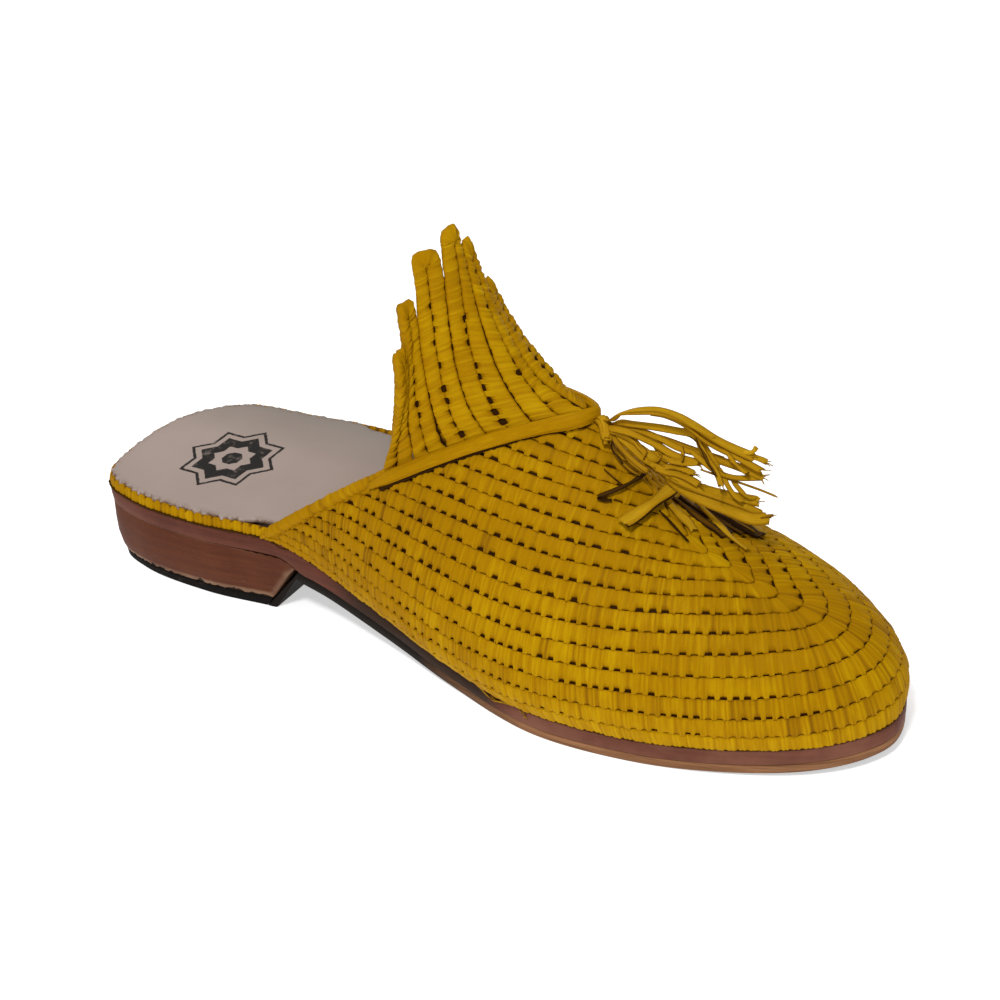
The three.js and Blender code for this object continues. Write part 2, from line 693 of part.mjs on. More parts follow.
function throatBandGeometry() {
  const stations = [];
  const steps = 26;
  for (const side of [-1, 1]) {
    const half = [];
    for (let i = 0; i <= steps; i += 1) {
      const share = i / steps;
      const row = THREE.MathUtils.lerp(BAND_ROWS.first, BAND_ROWS.last, share ** 0.85);
      half.push({ ...throatFrame(side, row), row });
    }
    if (side > 0) half.reverse();
    stations.push(...half);
    if (side < 0) stations.push(null);
  }
  // over the crest it takes the mean of the frames either side
  const [inner, outer] = [stations[steps], stations[steps + 2]];
  const mean = (key) => inner[key].clone().add(outer[key]).normalize();
  const crest = crestCurve.getPointAt(0);
  stations[steps + 1] = { point: crest, out: mean('out'), away: mean('away'), row: ROWS };
  const sides = 8;
  const rings = stations.map(({ point, out, away, row }) => {
    // the trim caps the raw edge of the wall below, and climbs on top of it where the tongue begins
    const over = ease(clamp01((row - TRIM_CLIMB.from) / TRIM_CLIMB.rows));
    const turn = (1 - over) * (Math.PI / 2);
    const reach = THREE.MathUtils.lerp(TRIM_THICK / 2, ROW_RISE + BAND_HEIGHT / 2, over) + TRIM_CLEAR;
    const climb = TRIM_CLIMB.lift * Math.sin(Math.PI * over);
    const lift = THREE.MathUtils.lerp(TRIM_LIFT, BAND_LIFT, over) + climb;
    const centre = point.clone()
      .addScaledVector(out, Math.cos(turn) * reach + lift)
      .addScaledVector(away, Math.sin(turn) * reach - BAND_FORWARD * over);
    const tall = THREE.MathUtils.lerp(TRIM_THICK, BAND_HEIGHT, over) / 2;
    const wide = THREE.MathUtils.lerp(TRIM_THICK, BAND_WIDTH, over) / 2;
    const ring = [];
    for (let k = 0; k < sides; k += 1) {
      const angle = (2 * Math.PI * k) / sides;
      ring.push(centre.clone()
        .addScaledVector(out, Math.sin(angle) * tall)
        .addScaledVector(away, Math.cos(angle) * wide));
    }
    return ring;
  });
  return tube(rings, false);
}

// ---------------------------------------------------------------- tassel

function tasselGeometry() {
  const root = crestCurve.getPointAt(TASSEL_ROOT.down);
  const lean = crestCurve.getTangentAt(TASSEL_ROOT.down);
  const up = vec(-lean.z, 0, lean.x).normalize();
  root.addScaledVector(up, TASSEL_ROOT.above + SEAM_GAP);
  const strips = TASSEL_STRIPS.map((strip) => {
    const end = vec(...strip.end);
    const middle = root.clone().lerp(end, 0.5);
    middle.z += strip.arch;
    const path = new THREE.CatmullRomCurve3([root.clone(), middle, end], false, 'centripetal');
    const steps = 7;
    const rings = [];
    for (let i = 0; i <= steps; i += 1) {
      const t = i / steps;
      const point = path.getPoint(t);
      const run = path.getTangent(t);
      const across = vec(-run.y, run.x, 0).normalize();
      const over = cross(run, across).normalize();
      const half = (strip.width / 2) * (STRIP_NECK + (1 - STRIP_NECK) * clamp01(t * 3));
      const thick = STRIP_THICK / 2;
      rings.push([
        point.clone().addScaledVector(across, half).addScaledVector(over, thick),
        point.clone().addScaledVector(across, -half).addScaledVector(over, thick),
        point.clone().addScaledVector(across, -half).addScaledVector(over, -thick),
        point.clone().addScaledVector(across, half).addScaledVector(over, -thick),
      ]);
    }
    return toSolid(tube(rings, false));
  });
  const knot = new THREE.SphereGeometry(TASSEL_ROOT.above - SEAM_GAP, 12, 8);
  knot.translate(root.x, root.y, root.z);
  return fromSolid(strips.reduce((sum, strip) => sum.add(strip), toSolid(knot)));
}

// ---------------------------------------------------------------- assembly

const RAFFIA = { color: 0xc9a012, roughness: 0.62, metalness: 0 };
const LEATHER = { color: 0x7a4436, roughness: 0.6, metalness: 0 };

const slipper = new THREE.Group();
slipper.add(node('outsole', outsoleGeometry(), { color: 0x2a211c, roughness: 0.7, metalness: 0 }));
slipper.add(node('midsole', midsoleGeometry(), LEATHER));
slipper.add(node('heel_block', heelBlockGeometry(), LEATHER));
slipper.add(node('top_lift', topLiftGeometry(), { color: 0x16130f, roughness: 0.8, metalness: 0 }));
slipper.add(node('insole', insoleGeometry(), { color: 0xb5a99c, roughness: 0.65, metalness: 0 }));
slipper.add(node('heel_rand', randGeometry(), RAFFIA));
slipper.add(node('upper', upperGeometry(), RAFFIA));
slipper.add(node('throat_band', throatBandGeometry(), RAFFIA));
slipper.add(node('tassel', tasselGeometry(), RAFFIA));

const box = new THREE.Box3().setFromObject(slipper);
slipper.position.set(-(box.min.x + box.max.x) / 2, -(box.min.y + box.max.y) / 2, -box.min.z);

export default slipper;
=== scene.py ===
# A raffia slipper for the left foot: a crocheted raffia vamp with a standing tongue of looped
# fingers, a raffia tassel, and a stitched leather sole on a low stacked heel.
# The scene is in metres. Sizes of the last and the crochet are in millimetres, turned by MM.
import math

import bmesh
import bpy
import numpy as np
from mathutils import Matrix, Vector


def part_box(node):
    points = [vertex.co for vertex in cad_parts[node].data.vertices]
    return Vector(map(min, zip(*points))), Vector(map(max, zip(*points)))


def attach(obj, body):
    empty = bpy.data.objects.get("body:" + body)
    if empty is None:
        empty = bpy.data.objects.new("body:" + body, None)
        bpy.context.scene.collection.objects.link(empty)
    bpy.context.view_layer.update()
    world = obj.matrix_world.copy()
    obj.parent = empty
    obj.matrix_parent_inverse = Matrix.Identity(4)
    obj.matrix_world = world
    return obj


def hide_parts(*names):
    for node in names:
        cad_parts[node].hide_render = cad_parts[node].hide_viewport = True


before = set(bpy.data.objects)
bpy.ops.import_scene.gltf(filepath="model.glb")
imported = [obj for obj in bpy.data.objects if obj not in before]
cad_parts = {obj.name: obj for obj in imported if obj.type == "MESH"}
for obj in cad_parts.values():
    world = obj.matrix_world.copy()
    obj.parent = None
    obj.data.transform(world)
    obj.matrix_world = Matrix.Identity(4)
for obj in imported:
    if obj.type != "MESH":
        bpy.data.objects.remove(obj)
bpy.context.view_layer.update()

# ------------------------------------------------------------------ camera, floor and light
# The shoe stands on a plain pale floor in soft light from above. The camera looks down on the
# inner side of the shoe from a little in front, and is rolled a few degrees.
MM = 0.001
VIEW_TURN = 38.909
VIEW_RISE = 32.589
VIEW_ROLL = -8.123
VIEW_AWAY = 600 * MM
AIM = Vector((7.753, 0.047, 41.994)) * MM

camera_data = bpy.data.cameras.new("camera")
camera_data.lens = 76.52
camera_data.clip_start = 0.01
camera = bpy.data.objects.new("camera", camera_data)
camera.matrix_world = (
    Matrix.Translation(AIM)
    @ Matrix.Rotation(math.radians(VIEW_TURN), 4, "Z")
    @ Matrix.Rotation(math.radians(90 - VIEW_RISE), 4, "X")
    @ Matrix.Rotation(math.radians(VIEW_ROLL), 4, "Z")
    @ Matrix.Translation((0, 0, VIEW_AWAY))
)
bpy.context.scene.collection.objects.link(camera)
bpy.context.scene.camera = camera
bpy.context.scene.view_settings.view_transform = "Standard"


def soft_light(name, place, aim, size, power):
    data = bpy.data.lights.new(name, "AREA")
    data.shape = "DISK"
    data.size = size
    data.energy = power
    lamp = bpy.data.objects.new(name, data)
    lamp.location = place
    lamp.rotation_euler = (Vector(aim) - Vector(place)).to_track_quat("-Z", "Y").to_euler()
    bpy.context.scene.collection.objects.link(lamp)


soft_light("light_above", (-0.25, 0.3, 1.1), (0, 0, 0.03), 0.9, 3.2)
soft_light("light_key", (0.25, -0.5, 0.9), (0.03, 0, 0.03), 0.16, 5.4)
soft_light("light_back", (-0.9, -0.3, 0.6), (0, 0, 0.03), 0.7, 0.95)

world = bpy.data.worlds.new("room")
bpy.context.scene.world = world
world.use_nodes = True
world.node_tree.nodes["Background"].inputs["Color"].default_value = (1, 1, 1, 1)
world.node_tree.nodes["Background"].inputs["Strength"].default_value = 0.28


def new_material(name, values):
    """A material with plain values on its shader's own sockets."""
    material = bpy.data.materials.new(name)
    material.use_nodes = True
    for socket, value in values.items():
        material.node_tree.nodes["Principled BSDF"].inputs[socket].default_value = value
    return material


bpy.ops.object.select_all(action="DESELECT")
bpy.ops.mesh.primitive_plane_add(size=6, location=(0, 0, 0))
floor = bpy.context.object
floor.name = "floor"
floor.data.materials.append(new_material("floor_pale", {
    "Base Color": (0.9, 0.9, 0.9, 1), "Roughness": 0.9,
    "Emission Color": (1, 1, 1, 1), "Emission Strength": 0.55,
}))

# ------------------------------------------------------------------ midsole
# One layer of reddish leather from heel to toe, cut to the last that the shoe is made on: all the
# other pieces are laid out on its line. Its edge is trimmed by hand, stained and burnished, and
# fine scratches run along it.
HEEL_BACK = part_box("midsole")[0].x / MM
LENGTH = 265
TOE_SIDE = -5.4
HEEL_MIDSOLE = 5.7
OUTSOLE_THICK = 2.9
WAIST_THICKER = 0.9
SEAM_GAP = 0.3
BREAST_FOOT = 70.5
BREAST_LEAN = 9.5
BREAST_BLEND = 12

# half widths of the sole either side of the line from heel to toe: x, inner, outer
SOLE_SECTIONS = [
    (4, 21.8, 16.5),
    (18, 27.9, 29.5),
    (45, 29.4, 33.5),
    (80, 26.0, 36.5),
    (115, 29.9, 34.5),
    (145, 36.3, 38.5),
    (175, 42.4, 43.5),
    (205, 40.0, 41.0),
    (230, 33.4, 33.0),
    (250, 24.3, 20.5),
    (261, 14.6, 8.5),
]

# side view of the sole: x, underside of the outsole, top of the midsole
SOLE_PROFILE = [
    (-5, 17.0, 25.6),
    (60, 17.0, 25.6),
    (72, 15.0, 25.3),
    (82, 12.0, 23.5),
    (92, 10.2, 20.6),
    (105, 7.4, 16.8),
    (120, 4.4, 13.1),
    (140, 1.3, 9.5),
    (158, 0, 8.0),
    (203, 0, 7.9),
    (230, 0.8, 8.7),
    (250, 2.0, 9.9),
    (266, 3.4, 11.3),
    (280, 4.6, 12.5),
]


def ease(t):
    t = np.clip(t, 0, 1)
    return t * t * (3 - 2 * t)


def unit(vectors):
    return vectors / np.linalg.norm(vectors, axis=-1, keepdims=True)


def walked_along(points):
    """The way along a line to each of its points."""
    return np.concatenate([[0], np.linalg.norm(np.diff(points, axis=0), axis=1).cumsum()])


def through(xs, ys):
    """Smooth curve through points that never overshoots them."""
    width = np.diff(xs)
    step = np.diff(ys) / width
    slopes = np.concatenate([step[:1], np.zeros(len(xs) - 2), step[-1:]])
    for i in range(1, len(xs) - 1):
        if step[i - 1] * step[i] > 0:
            near, far = width[i - 1], width[i]
            slopes[i] = 3 * (near + far) / ((2 * far + near) / step[i - 1] + (far + 2 * near) / step[i])

    def curve(x):
        x = np.asarray(x, float)
        i = np.clip(np.searchsorted(xs, x, side="left") - 1, 0, len(xs) - 2)
        t = np.clip((x - xs[i]) / width[i], 0, 1)
        rest = 1 - t
        return (ys[i] * (1 + 2 * t) * rest**2 + slopes[i] * width[i] * t * rest**2
                + ys[i + 1] * t * t * (3 - 2 * t) - slopes[i + 1] * width[i] * t * t * rest)

    return curve


def spline(points, closed=False):
    """Centripetal curve through points, read by share of its length."""
    points = np.asarray(points, float)
    before, after = (points[-1:], points[:2]) if closed else (
        [2 * points[0] - points[1]], [2 * points[-1] - points[-2]])
    points = np.concatenate([before, points, after])
    spans = len(points) - 3

    def at(t):
        place = np.asarray(t, float) * spans
        i = np.clip(np.floor(place).astype(int), 0, spans - 1)
        t = (place - i)[..., None]
        p0, p1, p2, p3 = (points[i + k] for k in range(4))
        pairs = ((p0, p1), (p1, p2), (p2, p3))
        d0, d1, d2 = (np.sqrt(np.linalg.norm(b - a, axis=-1))[..., None] for a, b in pairs)
        t1 = ((p1 - p0) / d0 - (p2 - p0) / (d0 + d1) + (p2 - p1) / d1) * d1
        t2 = ((p2 - p1) / d1 - (p3 - p1) / (d1 + d2) + (p3 - p2) / d2) * d1
        return p1 + t1 * t + (-3 * p1 + 3 * p2 - 2 * t1 - t2) * t * t + (2 * p1 - 2 * p2 + t1 + t2) * t**3

    table = np.linspace(0, 1, 1601)
    walked = walked_along(at(table))
    return lambda share: at(np.interp(share, walked / walked[-1], table))


outline_curve = spline(
    [(0, 0, 0), *[(x, -inner, 0) for x, inner, outer in SOLE_SECTIONS], (LENGTH, TOE_SIDE, 0),
     *[(x, outer, 0) for x, inner, outer in reversed(SOLE_SECTIONS)]],
    closed=True,
)
profile = np.array(SOLE_PROFILE, float).T
under_at, top_at = through(profile[0], profile[1]), through(profile[0], profile[2])
SEAT_UNDER = float(top_at(0)) - HEEL_MIDSOLE
WAIST_LEVEL = float(under_at(BREAST_FOOT + BREAST_LEAN))


def outline_at(share, inset=0.0):
    """Points of the sole's outline at shares of its length, moved inwards."""
    share = np.asarray(share, float) % 1
    run = unit(outline_curve((share + 5e-4) % 1) - outline_curve((share - 5e-4) % 1))
    inwards = np.stack([-run[..., 1], run[..., 0], np.zeros_like(run[..., 0])], -1)
    return outline_curve(share) + inwards * np.asarray(inset)[..., None]


def outline_ring(inset, count=260, last=None):
    """Both sides of the outline moved inwards, as points at the same places along the shoe."""
    shares = np.linspace(0, 1, 6001)
    inset = inset(outline_at(shares)[:, 0]) if callable(inset) else inset
    dense = outline_at(shares, inset)[:-1]
    dense = np.roll(dense, -int(dense[:, 0].argmin()), axis=0)
    toe = int(dense[:, 0].argmax())
    near, far = dense[0, 0], dense[toe, 0]
    # the points lie closer together at the round ends; a ring with a last place has only one
    if last is None:
        places = near + (far - near) * (1 - np.cos(np.linspace(0, math.pi, count))) / 2
    else:
        places = near + (last - near) * (1 - np.cos(np.linspace(0, math.pi / 2, count)))
    sides = []
    for side in (dense[: toe + 1], np.concatenate([dense[toe:], dense[:1]])[::-1]):
        order = np.maximum.accumulate(side[:, 0]) + np.arange(len(side)) * 1e-9
        sides.append(np.stack([places, np.interp(places, order, side[:, 1]), 0 * places], -1))
    return sides


def solid_of_rings(levels, columns=10, open_front=False):
    """Points, faces and edge wear of a solid whose levels are (inner side, outer side, wear) lines."""
    points, faces, wear, rings = [], [], [], []
    for inner, outer, worn in levels:
        front = [inner[-1] + (outer[-1] - inner[-1]) * k / columns for k in range(1, columns)]
        ring = [*inner, *front, *outer[:0:-1]] if open_front else [*inner, *outer[-2:0:-1]]
        rings.append(range(len(points), len(points) + len(ring)))
        points += ring
        wear += [worn] * len(ring)
    for low, high in zip(rings, rings[1:]):
        faces += [(low[k - 1], low[k], high[k], high[k - 1]) for k in range(len(low))]
    count = len(levels[0][0])
    for (inner, outer, _), ring in ((levels[0], rings[0]), (levels[-1], rings[-1])):
        rows = []
        for c in range(1, count - 1):
            rows.append([ring[c], *range(len(points), len(points) + columns - 1), ring[-c]])
            points += [inner[c] + (outer[c] - inner[c]) * k / columns for k in range(1, columns)]
        if open_front:
            rows.append(ring[count - 1 : count + columns])
        else:
            faces += [(ring[count - 1], rows[-1][k + 1], rows[-1][k]) for k in range(columns)]
        faces += [(ring[0], rows[0][k], rows[0][k + 1]) for k in range(columns)]
        for near, far in zip(rows, rows[1:]):
            faces += [(near[k], far[k], far[k + 1], near[k + 1]) for k in range(columns)]
    wear += [0.0] * (len(points) - len(wear))
    return np.array(points), faces, np.array(wear)


def in_place(points):
    """Millimetres on the last to metres in the scene."""
    return (np.asarray(points, float) + np.array([HEEL_BACK, 0, 0])) * MM


def mesh_piece(name, points, faces, tone, material, replaced=None, uv=None):
    """A mesh piece that rides on the shoe; tone is per point, uv per face corner."""
    mesh = bpy.data.meshes.new(name)
    mesh.from_pydata(in_place(points).tolist(), [], faces)
    if uv is None:
        shape = bmesh.new()
        shape.from_mesh(mesh)
        bmesh.ops.recalc_face_normals(shape, faces=shape.faces)
        shape.to_mesh(mesh)
        shape.free()
    else:
        mesh.uv_layers.new(name="UVMap").data.foreach_set("uv", uv.ravel())
    mesh.attributes.new("tone", "FLOAT", "POINT").data.foreach_set("value", tone)
    mesh.polygons.foreach_set("use_smooth", [True] * len(mesh.polygons))
    mesh.materials.append(material)
    piece = bpy.data.objects.new(name, mesh)
    bpy.context.scene.collection.objects.link(piece)
    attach(piece, "root")
    if replaced:
        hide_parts(replaced)


class Nodes:
    """Adds nodes to a tree. An input is a number, a colour or another node's output."""

    def __init__(self, tree):
        self.tree = tree

    def put(self, node, inputs):
        for name, value in inputs.items():
            socket = node.inputs[name]
            if isinstance(value, bpy.types.NodeSocket):
                self.tree.links.new(value, socket)
            else:
                socket.default_value = (*value, 1) if socket.type == "RGBA" else value

    def add(self, kind, inputs, output=0, **settings):
        node = self.tree.nodes.new("ShaderNode" + kind)
        for name, value in settings.items():
            setattr(node, name, value)
        self.put(node, inputs)
        return node.outputs[output]

    def effect(self, group, inputs):
        node = self.tree.nodes.new("ShaderNodeGroup")
        node.node_tree = group
        self.put(node, inputs)
        return node.outputs

    def maths(self, operation, *values, clamp=False):
        return self.add("Math", dict(enumerate(values)), operation=operation, use_clamp=clamp)

    def times(self, value, factor, plus=0.0, clamp=False):
        """A value times a factor, plus a third value."""
        return self.maths("MULTIPLY_ADD", value, factor, plus, clamp=clamp)

    def mix(self, factor, first, second):
        return self.add("Mix", {0: factor, 6: first, 7: second}, 2, data_type="RGBA")

    def noise(self, vector, scale, detail=2.0, rough=0.5, stretch=None):
        if stretch:
            vector = self.add("Mapping", {"Vector": vector, "Scale": stretch})
        inputs = {"Vector": vector, "Scale": scale, "Detail": detail, "Roughness": rough}
        return self.add("TexNoise", inputs, "Fac")

    def place(self):
        return self.add("TexCoord", {}, "Object")

    def tone(self):
        """The shade or the wear that the mesh has at each point."""
        return self.add("Attribute", {}, "Fac", attribute_name="tone")

    def finish(self, colour, rough, height, strength, depth):
        """Colour, roughness and relief of a material; the relief's depth is in millimetres."""
        normal = self.add("Bump", {"Strength": strength, "Distance": depth * MM, "Height": height}, "Normal")
        shader = self.tree.nodes["Principled BSDF"]
        self.put(shader, {"Base Color": colour, "Roughness": rough, "Normal": normal})


def node_group(name, inputs, outputs):
    """An empty node group, the maker of its nodes, its inputs and its output node."""
    group = bpy.data.node_groups.new(name, "ShaderNodeTree")
    for way, sockets in (("INPUT", inputs), ("OUTPUT", outputs)):
        for label, kind in sockets.items():
            group.interface.new_socket(name=label, in_out=way, socket_type="NodeSocket" + kind)
    given, result = group.nodes.new("NodeGroupInput"), group.nodes.new("NodeGroupOutput")
    return group, Nodes(group), given.outputs, result


# stained leather: streaks and scratches along the shoe, clouds of stain, and where a rim is rubbed
leather_stain, nodes, given, result = node_group(
    "leather_stain", {"Place": "Vector"},
    dict.fromkeys(["Stain", "Scratches", "Rubbed", "Streaks", "Height"], "Float"))
streaks = nodes.noise(given["Place"], 1.0, 3.0, 0.6, (45, 45, 900))
clouds = nodes.noise(given["Place"], 55.0, 3.0, 0.6)
grain = nodes.noise(given["Place"], 1500.0, 2.0, 0.6)
scratches = nodes.noise(given["Place"], 1.0, 2.0, 0.7, (160, 160, 2600))
nodes.put(result, {
    "Stain": nodes.times(grain, 0.5, nodes.times(clouds, 1.5, nodes.times(streaks, 1.6, -1.3)), clamp=True),
    "Scratches": nodes.times(scratches, 12.0, -8.3, clamp=True),
    "Rubbed": nodes.times(clouds, 2.6, -0.6, clamp=True),
    "Streaks": streaks,
    "Height": nodes.times(streaks, 0.8, nodes.times(grain, 0.5, scratches)),
})


EDGE_BLACK = (0.028, 0.014, 0.007)


def leather_material(name, light, deep, worn, relief):
    """Stained leather, paler where its edge is worn and black where the wear is below nought."""
    material = new_material(name, {"Specular IOR Level": 0.05})
    nodes = Nodes(material.node_tree)
    stain = nodes.effect(leather_stain, {"Place": nodes.place()})
    wear = nodes.tone()
    colour = nodes.mix(stain["Stain"], deep, light)
    colour = nodes.mix(nodes.times(stain["Scratches"], 0.45), colour, worn)
    colour = nodes.mix(nodes.times(wear, stain["Rubbed"], clamp=True), colour, worn)
    colour = nodes.mix(nodes.times(wear, -1.0, clamp=True), colour, EDGE_BLACK)
    nodes.finish(colour, nodes.times(stain["Streaks"], 0.3, 0.4), stain["Height"], relief, 0.3)
    return material


def breast_at(z):
    return BREAST_FOOT + BREAST_LEAN * np.asarray(z, float) / WAIST_LEVEL


def midsole_under(x):
    """Underside of the midsole; the outsole is thicker under the waist and thins forward."""
    thicker = WAIST_THICKER * ease((x - 78) / 10) * (1 - ease((x - 115) / 55))
    forward = under_at(x) + OUTSOLE_THICK + SEAM_GAP + thicker
    over_breast = ease((x - (float(breast_at(SEAT_UNDER)) - BREAST_BLEND)) / BREAST_BLEND)
    return SEAT_UNDER + (forward - SEAT_UNDER) * over_breast


levels = []
# levels from below: inset of the edge, share of the thickness, lift, wear
for inset, share, lift, worn in [
    (0.4, 0, 0, 0.0), (0.05, 0, 0.08, 0.3), (0.0, 0, 0.3, 0.1), (-0.12, 0.5, 0, 0.0), (0.0, 1, -0.5, 0.0),
    (0.14, 1, -0.16, 0.2), (0.5, 1, 0, 0.0),
]:
    sides = outline_ring(inset)
    for side in sides:
        low, high = midsole_under(side[:, 0]), top_at(side[:, 0])
        side[:, 2] = low + (high - low) * share + lift
    levels.append((*sides, worn))
points, faces, wear = solid_of_rings(levels)
# the edge is black at the waist, as the outsole's is; along the forefoot the stain is rubbed paler
black_waist = ease((points[:, 0] - 89) / 20) * (1 - ease((points[:, 0] - 155) / 13))
wear = (wear + 0.4 * ease((points[:, 0] - 150) / 30)) * (1 - black_waist) - 0.95 * black_waist
midsole_leather = leather_material(
    "midsole_leather", (0.155, 0.048, 0.029), (0.092, 0.028, 0.0175), (0.31, 0.14, 0.09), 0.25)
mesh_piece("midsole_edge", points, faces, wear, midsole_leather, "midsole")

# ------------------------------------------------------------------ vamp
# Eighteen courses of crochet in dyed palm fibre, split into flat ribbons. Eight go right round
# the toe and the others turn back on the crest, one inside the other. Each is a roll of tight
# stitches with legs over the course below, and between the legs small holes go right through.
ROWS = 18
TOE_ROWS = 8
UPPER_START_X = 71
UPPER_INSET = 0.3
STITCH_LOW = 2.8
STITCH_GROWS = 0.09
HOLE_RISE = 0.12
LEG_REACH = 0.07
ROW_OPEN = [0, 0.12, 0.35, 0.45, 0.38, 0.6, 0.6, 1.2, 0.8, 0.75, 1.15, 1.05, 0.5, 1.0, 0.7, 0.95, 0.7, 0.8]
RAFFIA_LIGHT = (0.615, 0.364, 0.003)
RAFFIA_DEEP = (0.4, 0.195, 0.0015)
RAFFIA_BROWN = (0.16, 0.06, 0.004)
RAFFIA_DEEP_SHADE = (0.035, 0.014, 0.003)
chance = np.random.default_rng(7)

# the crest: the line over the vamp from the throat to where the courses go right round the toe
CREST = [
    (174, 2, 77.5),
    (179, 1, 71.5),
    (189, -1, 63),
    (200, -3.5, 54.5),
    (211, -6, 48.5),
    (221, -6, 44.5),
    (232.5, -6, 39.5),
]

# ribs of the vamp from the inner corner round the toe: share of the way round, share down the
# crest, how the rib leaves the sole, how it leaves the crest, and how closely the rows lie low down
RIBS = [
    (0.0, 0.0, (32, 0, 22), (-25, -21, 0.5), 0.77),
    (0.035, 0.15, (24, -8, 25), (-20, -24, 1), 0.82),
    (0.125, 0.36, (6, -17, 19), (-9, -27, 1), 1.03),
    (0.26, 0.59, (-4, -12, 16.5), (-8, -24, 1), 1.12),
    (0.335, 0.85, (0, -7.5, 14.5), (-1, -22, 2), 1.07),
    (0.42, 1.0, (1, -4.5, 13.5), (1, -17, 1.5), 1.0),
    (0.46, 1.0, (1.5, -3, 15), (10, -12, 0.5), 1.0),
    (0.5, 1.0, (4, 1, 17.5), (18, 0, -2), 1.05),
    (0.54, 1.0, (3, 3, 14), (10, 13, 0.5), 1.0),
    (0.58, 1.0, (1, 4.5, 15), (2, 18, 1), 1.0),
    (0.66, 0.8, (0, 7, 15), (-1, 22, 1.5), 1.07),
    (0.75, 0.57, (-3, 11, 17), (-8, 24, 1), 1.1),
    (0.87, 0.36, (6, 14, 20), (-10, 26, 0), 1.03),
    (0.965, 0.15, (24, 8, 25), (-20, 22, -2), 0.82),
    (1.0, 0.0, (32, 2, 22), (-25, 17, -2), 0.77),
]

# raffia: a leaf's place is in millimetres across it (x) and along it (y). Fine veins run along the leaf, and
# the dye has taken unevenly. Where the tone is low the colour takes painted shade: brown in the grooves and
# near black in holes and dark recesses.
raffia_dye, nodes, given, result = node_group(
    "raffia_dye", {"Place": "Vector", "Leaf": "Vector", "Vein Scale": "Float", "Tone": "Float"},
    dict.fromkeys(["Height", "Vein", "Dye", "Fleck", "Groove Shade", "Inside"], "Float"))
veins = nodes.add("VectorMath", {0: given["Leaf"], "Scale": given["Vein Scale"]}, operation="SCALE")
fine_veins = nodes.noise(veins, 1.0, 2.0, 0.6, (1.7, 0.14, 1))
broad_veins = nodes.noise(veins, 1.0, 1.0, stretch=(0.6, 0.08, 1))
vein = nodes.times(fine_veins, 0.6, nodes.times(broad_veins, 0.4))
dye = nodes.times(nodes.noise(given["Place"], 70.0, 2.0, 0.6), 0.9, nodes.times(vein, 1.5, given["Tone"]))
dye = nodes.times(nodes.noise(given["Place"], 24.0, 1.0), 0.9, dye)
flecks = nodes.times(nodes.noise(given["Leaf"], 1.0, 3.0, 0.7, (1.7, 0.5, 1)), 9.0, -6.1, clamp=True)
nodes.put(result, {
    "Height": nodes.times(broad_veins, 0.8, fine_veins),
    "Vein": vein,
    "Dye": nodes.maths("ADD", dye, -1.57, clamp=True),
    "Fleck": nodes.times(flecks, 0.35),
    "Groove Shade": nodes.times(nodes.times(given["Tone"], -2.2, -0.25, clamp=True), 0.7),
    "Inside": nodes.times(given["Tone"], -2.0, -1.0, clamp=True),
})


def raffia_material(name, vein_scale=1.0, relief=0.35, light=RAFFIA_LIGHT, deep=RAFFIA_DEEP, rough=0.5):
    """Raffia whose leaves follow the piece's UV map, in millimetres."""
    material = new_material(name, {"Specular IOR Level": 0.012})
    nodes = Nodes(material.node_tree)
    leaf = nodes.add("UVMap", {}, "UV", uv_map="UVMap")
    raffia = nodes.effect(
        raffia_dye, {"Place": nodes.place(), "Leaf": leaf, "Vein Scale": vein_scale, "Tone": nodes.tone()})
    colour = nodes.mix(raffia["Dye"], deep, light)
    colour = nodes.mix(raffia["Fleck"], colour, RAFFIA_BROWN)
    # painted shade: low tones mix towards brown in the grooves, the lowest towards near black
    colour = nodes.mix(raffia["Groove Shade"], colour, RAFFIA_BROWN)
    colour = nodes.mix(raffia["Inside"], colour, RAFFIA_DEEP_SHADE)
    nodes.finish(colour, nodes.times(raffia["Vein"], -0.3, rough + 0.15), raffia["Height"], relief, 0.25)
    return material


def share_at(x, side):
    """Share of the outline's length where one side passes a given x."""
    shares = np.linspace(0, 1, 4001)
    points = outline_at(shares)
    miss = np.where(np.sign(points[:, 1]) == side, abs(points[:, 0] - x), np.inf)
    return shares[int(np.argmin(miss))]


def bezier(a, b, c, d, t):
    t = np.asarray(t)[..., None]
    return a * (1 - t) ** 3 + 3 * b * (1 - t) ** 2 * t + 3 * c * (1 - t) * t * t + d * t**3


def read_line(places, known, points):
    """Points of a line at places along it."""
    return np.stack([np.interp(places, known, column) for column in np.transpose(points)], -1)


def smooth_line(points, reach):
    """Points of a line pulled together over a few neighbours, its ends kept."""
    pad = 3 * reach
    weights = np.exp(-0.5 * (np.arange(-pad, pad + 1) / reach) ** 2)
    weights /= weights.sum()
    before, after = 2 * points[0] - points[pad:0:-1], 2 * points[-1] - points[-2 : -pad - 2 : -1]
    padded = np.concatenate([before, points, after])
    return np.stack([np.convolve(column, weights, "valid") for column in padded.T], -1)


crest_curve = spline(CREST)
ribs = np.array([(share, down, *foot, *head, pack) for share, down, foot, head, pack in RIBS], float).T
rib_down, *rib_arms, rib_pack = (through(ribs[0], column) for column in ribs[1:])
inner_corner = share_at(UPPER_START_X, -1)
outer_corner = share_at(UPPER_START_X + 2, 1)


def rows_at(along):
    return ROWS - (ROWS - TOE_ROWS) * rib_down(along)


def vamp_point(along, row):
    """Points of the vamp: along = share of the way round the sole, row = courses up from it."""
    along = np.asarray(along, float)
    foot = outline_at(inner_corner + (outer_corner - inner_corner) * along, UPPER_INSET)
    foot[..., 2] = top_at(foot[..., 0]) + SEAM_GAP
    head = crest_curve(np.clip(rib_down(along), 0, 1))
    arms = np.stack([curve(along) for curve in rib_arms], -1)
    t = np.clip(row / rows_at(along), 0, 1) ** (1 / rib_pack(along))
    return bezier(foot, foot + arms[..., :3], head + arms[..., 3:], head, t)


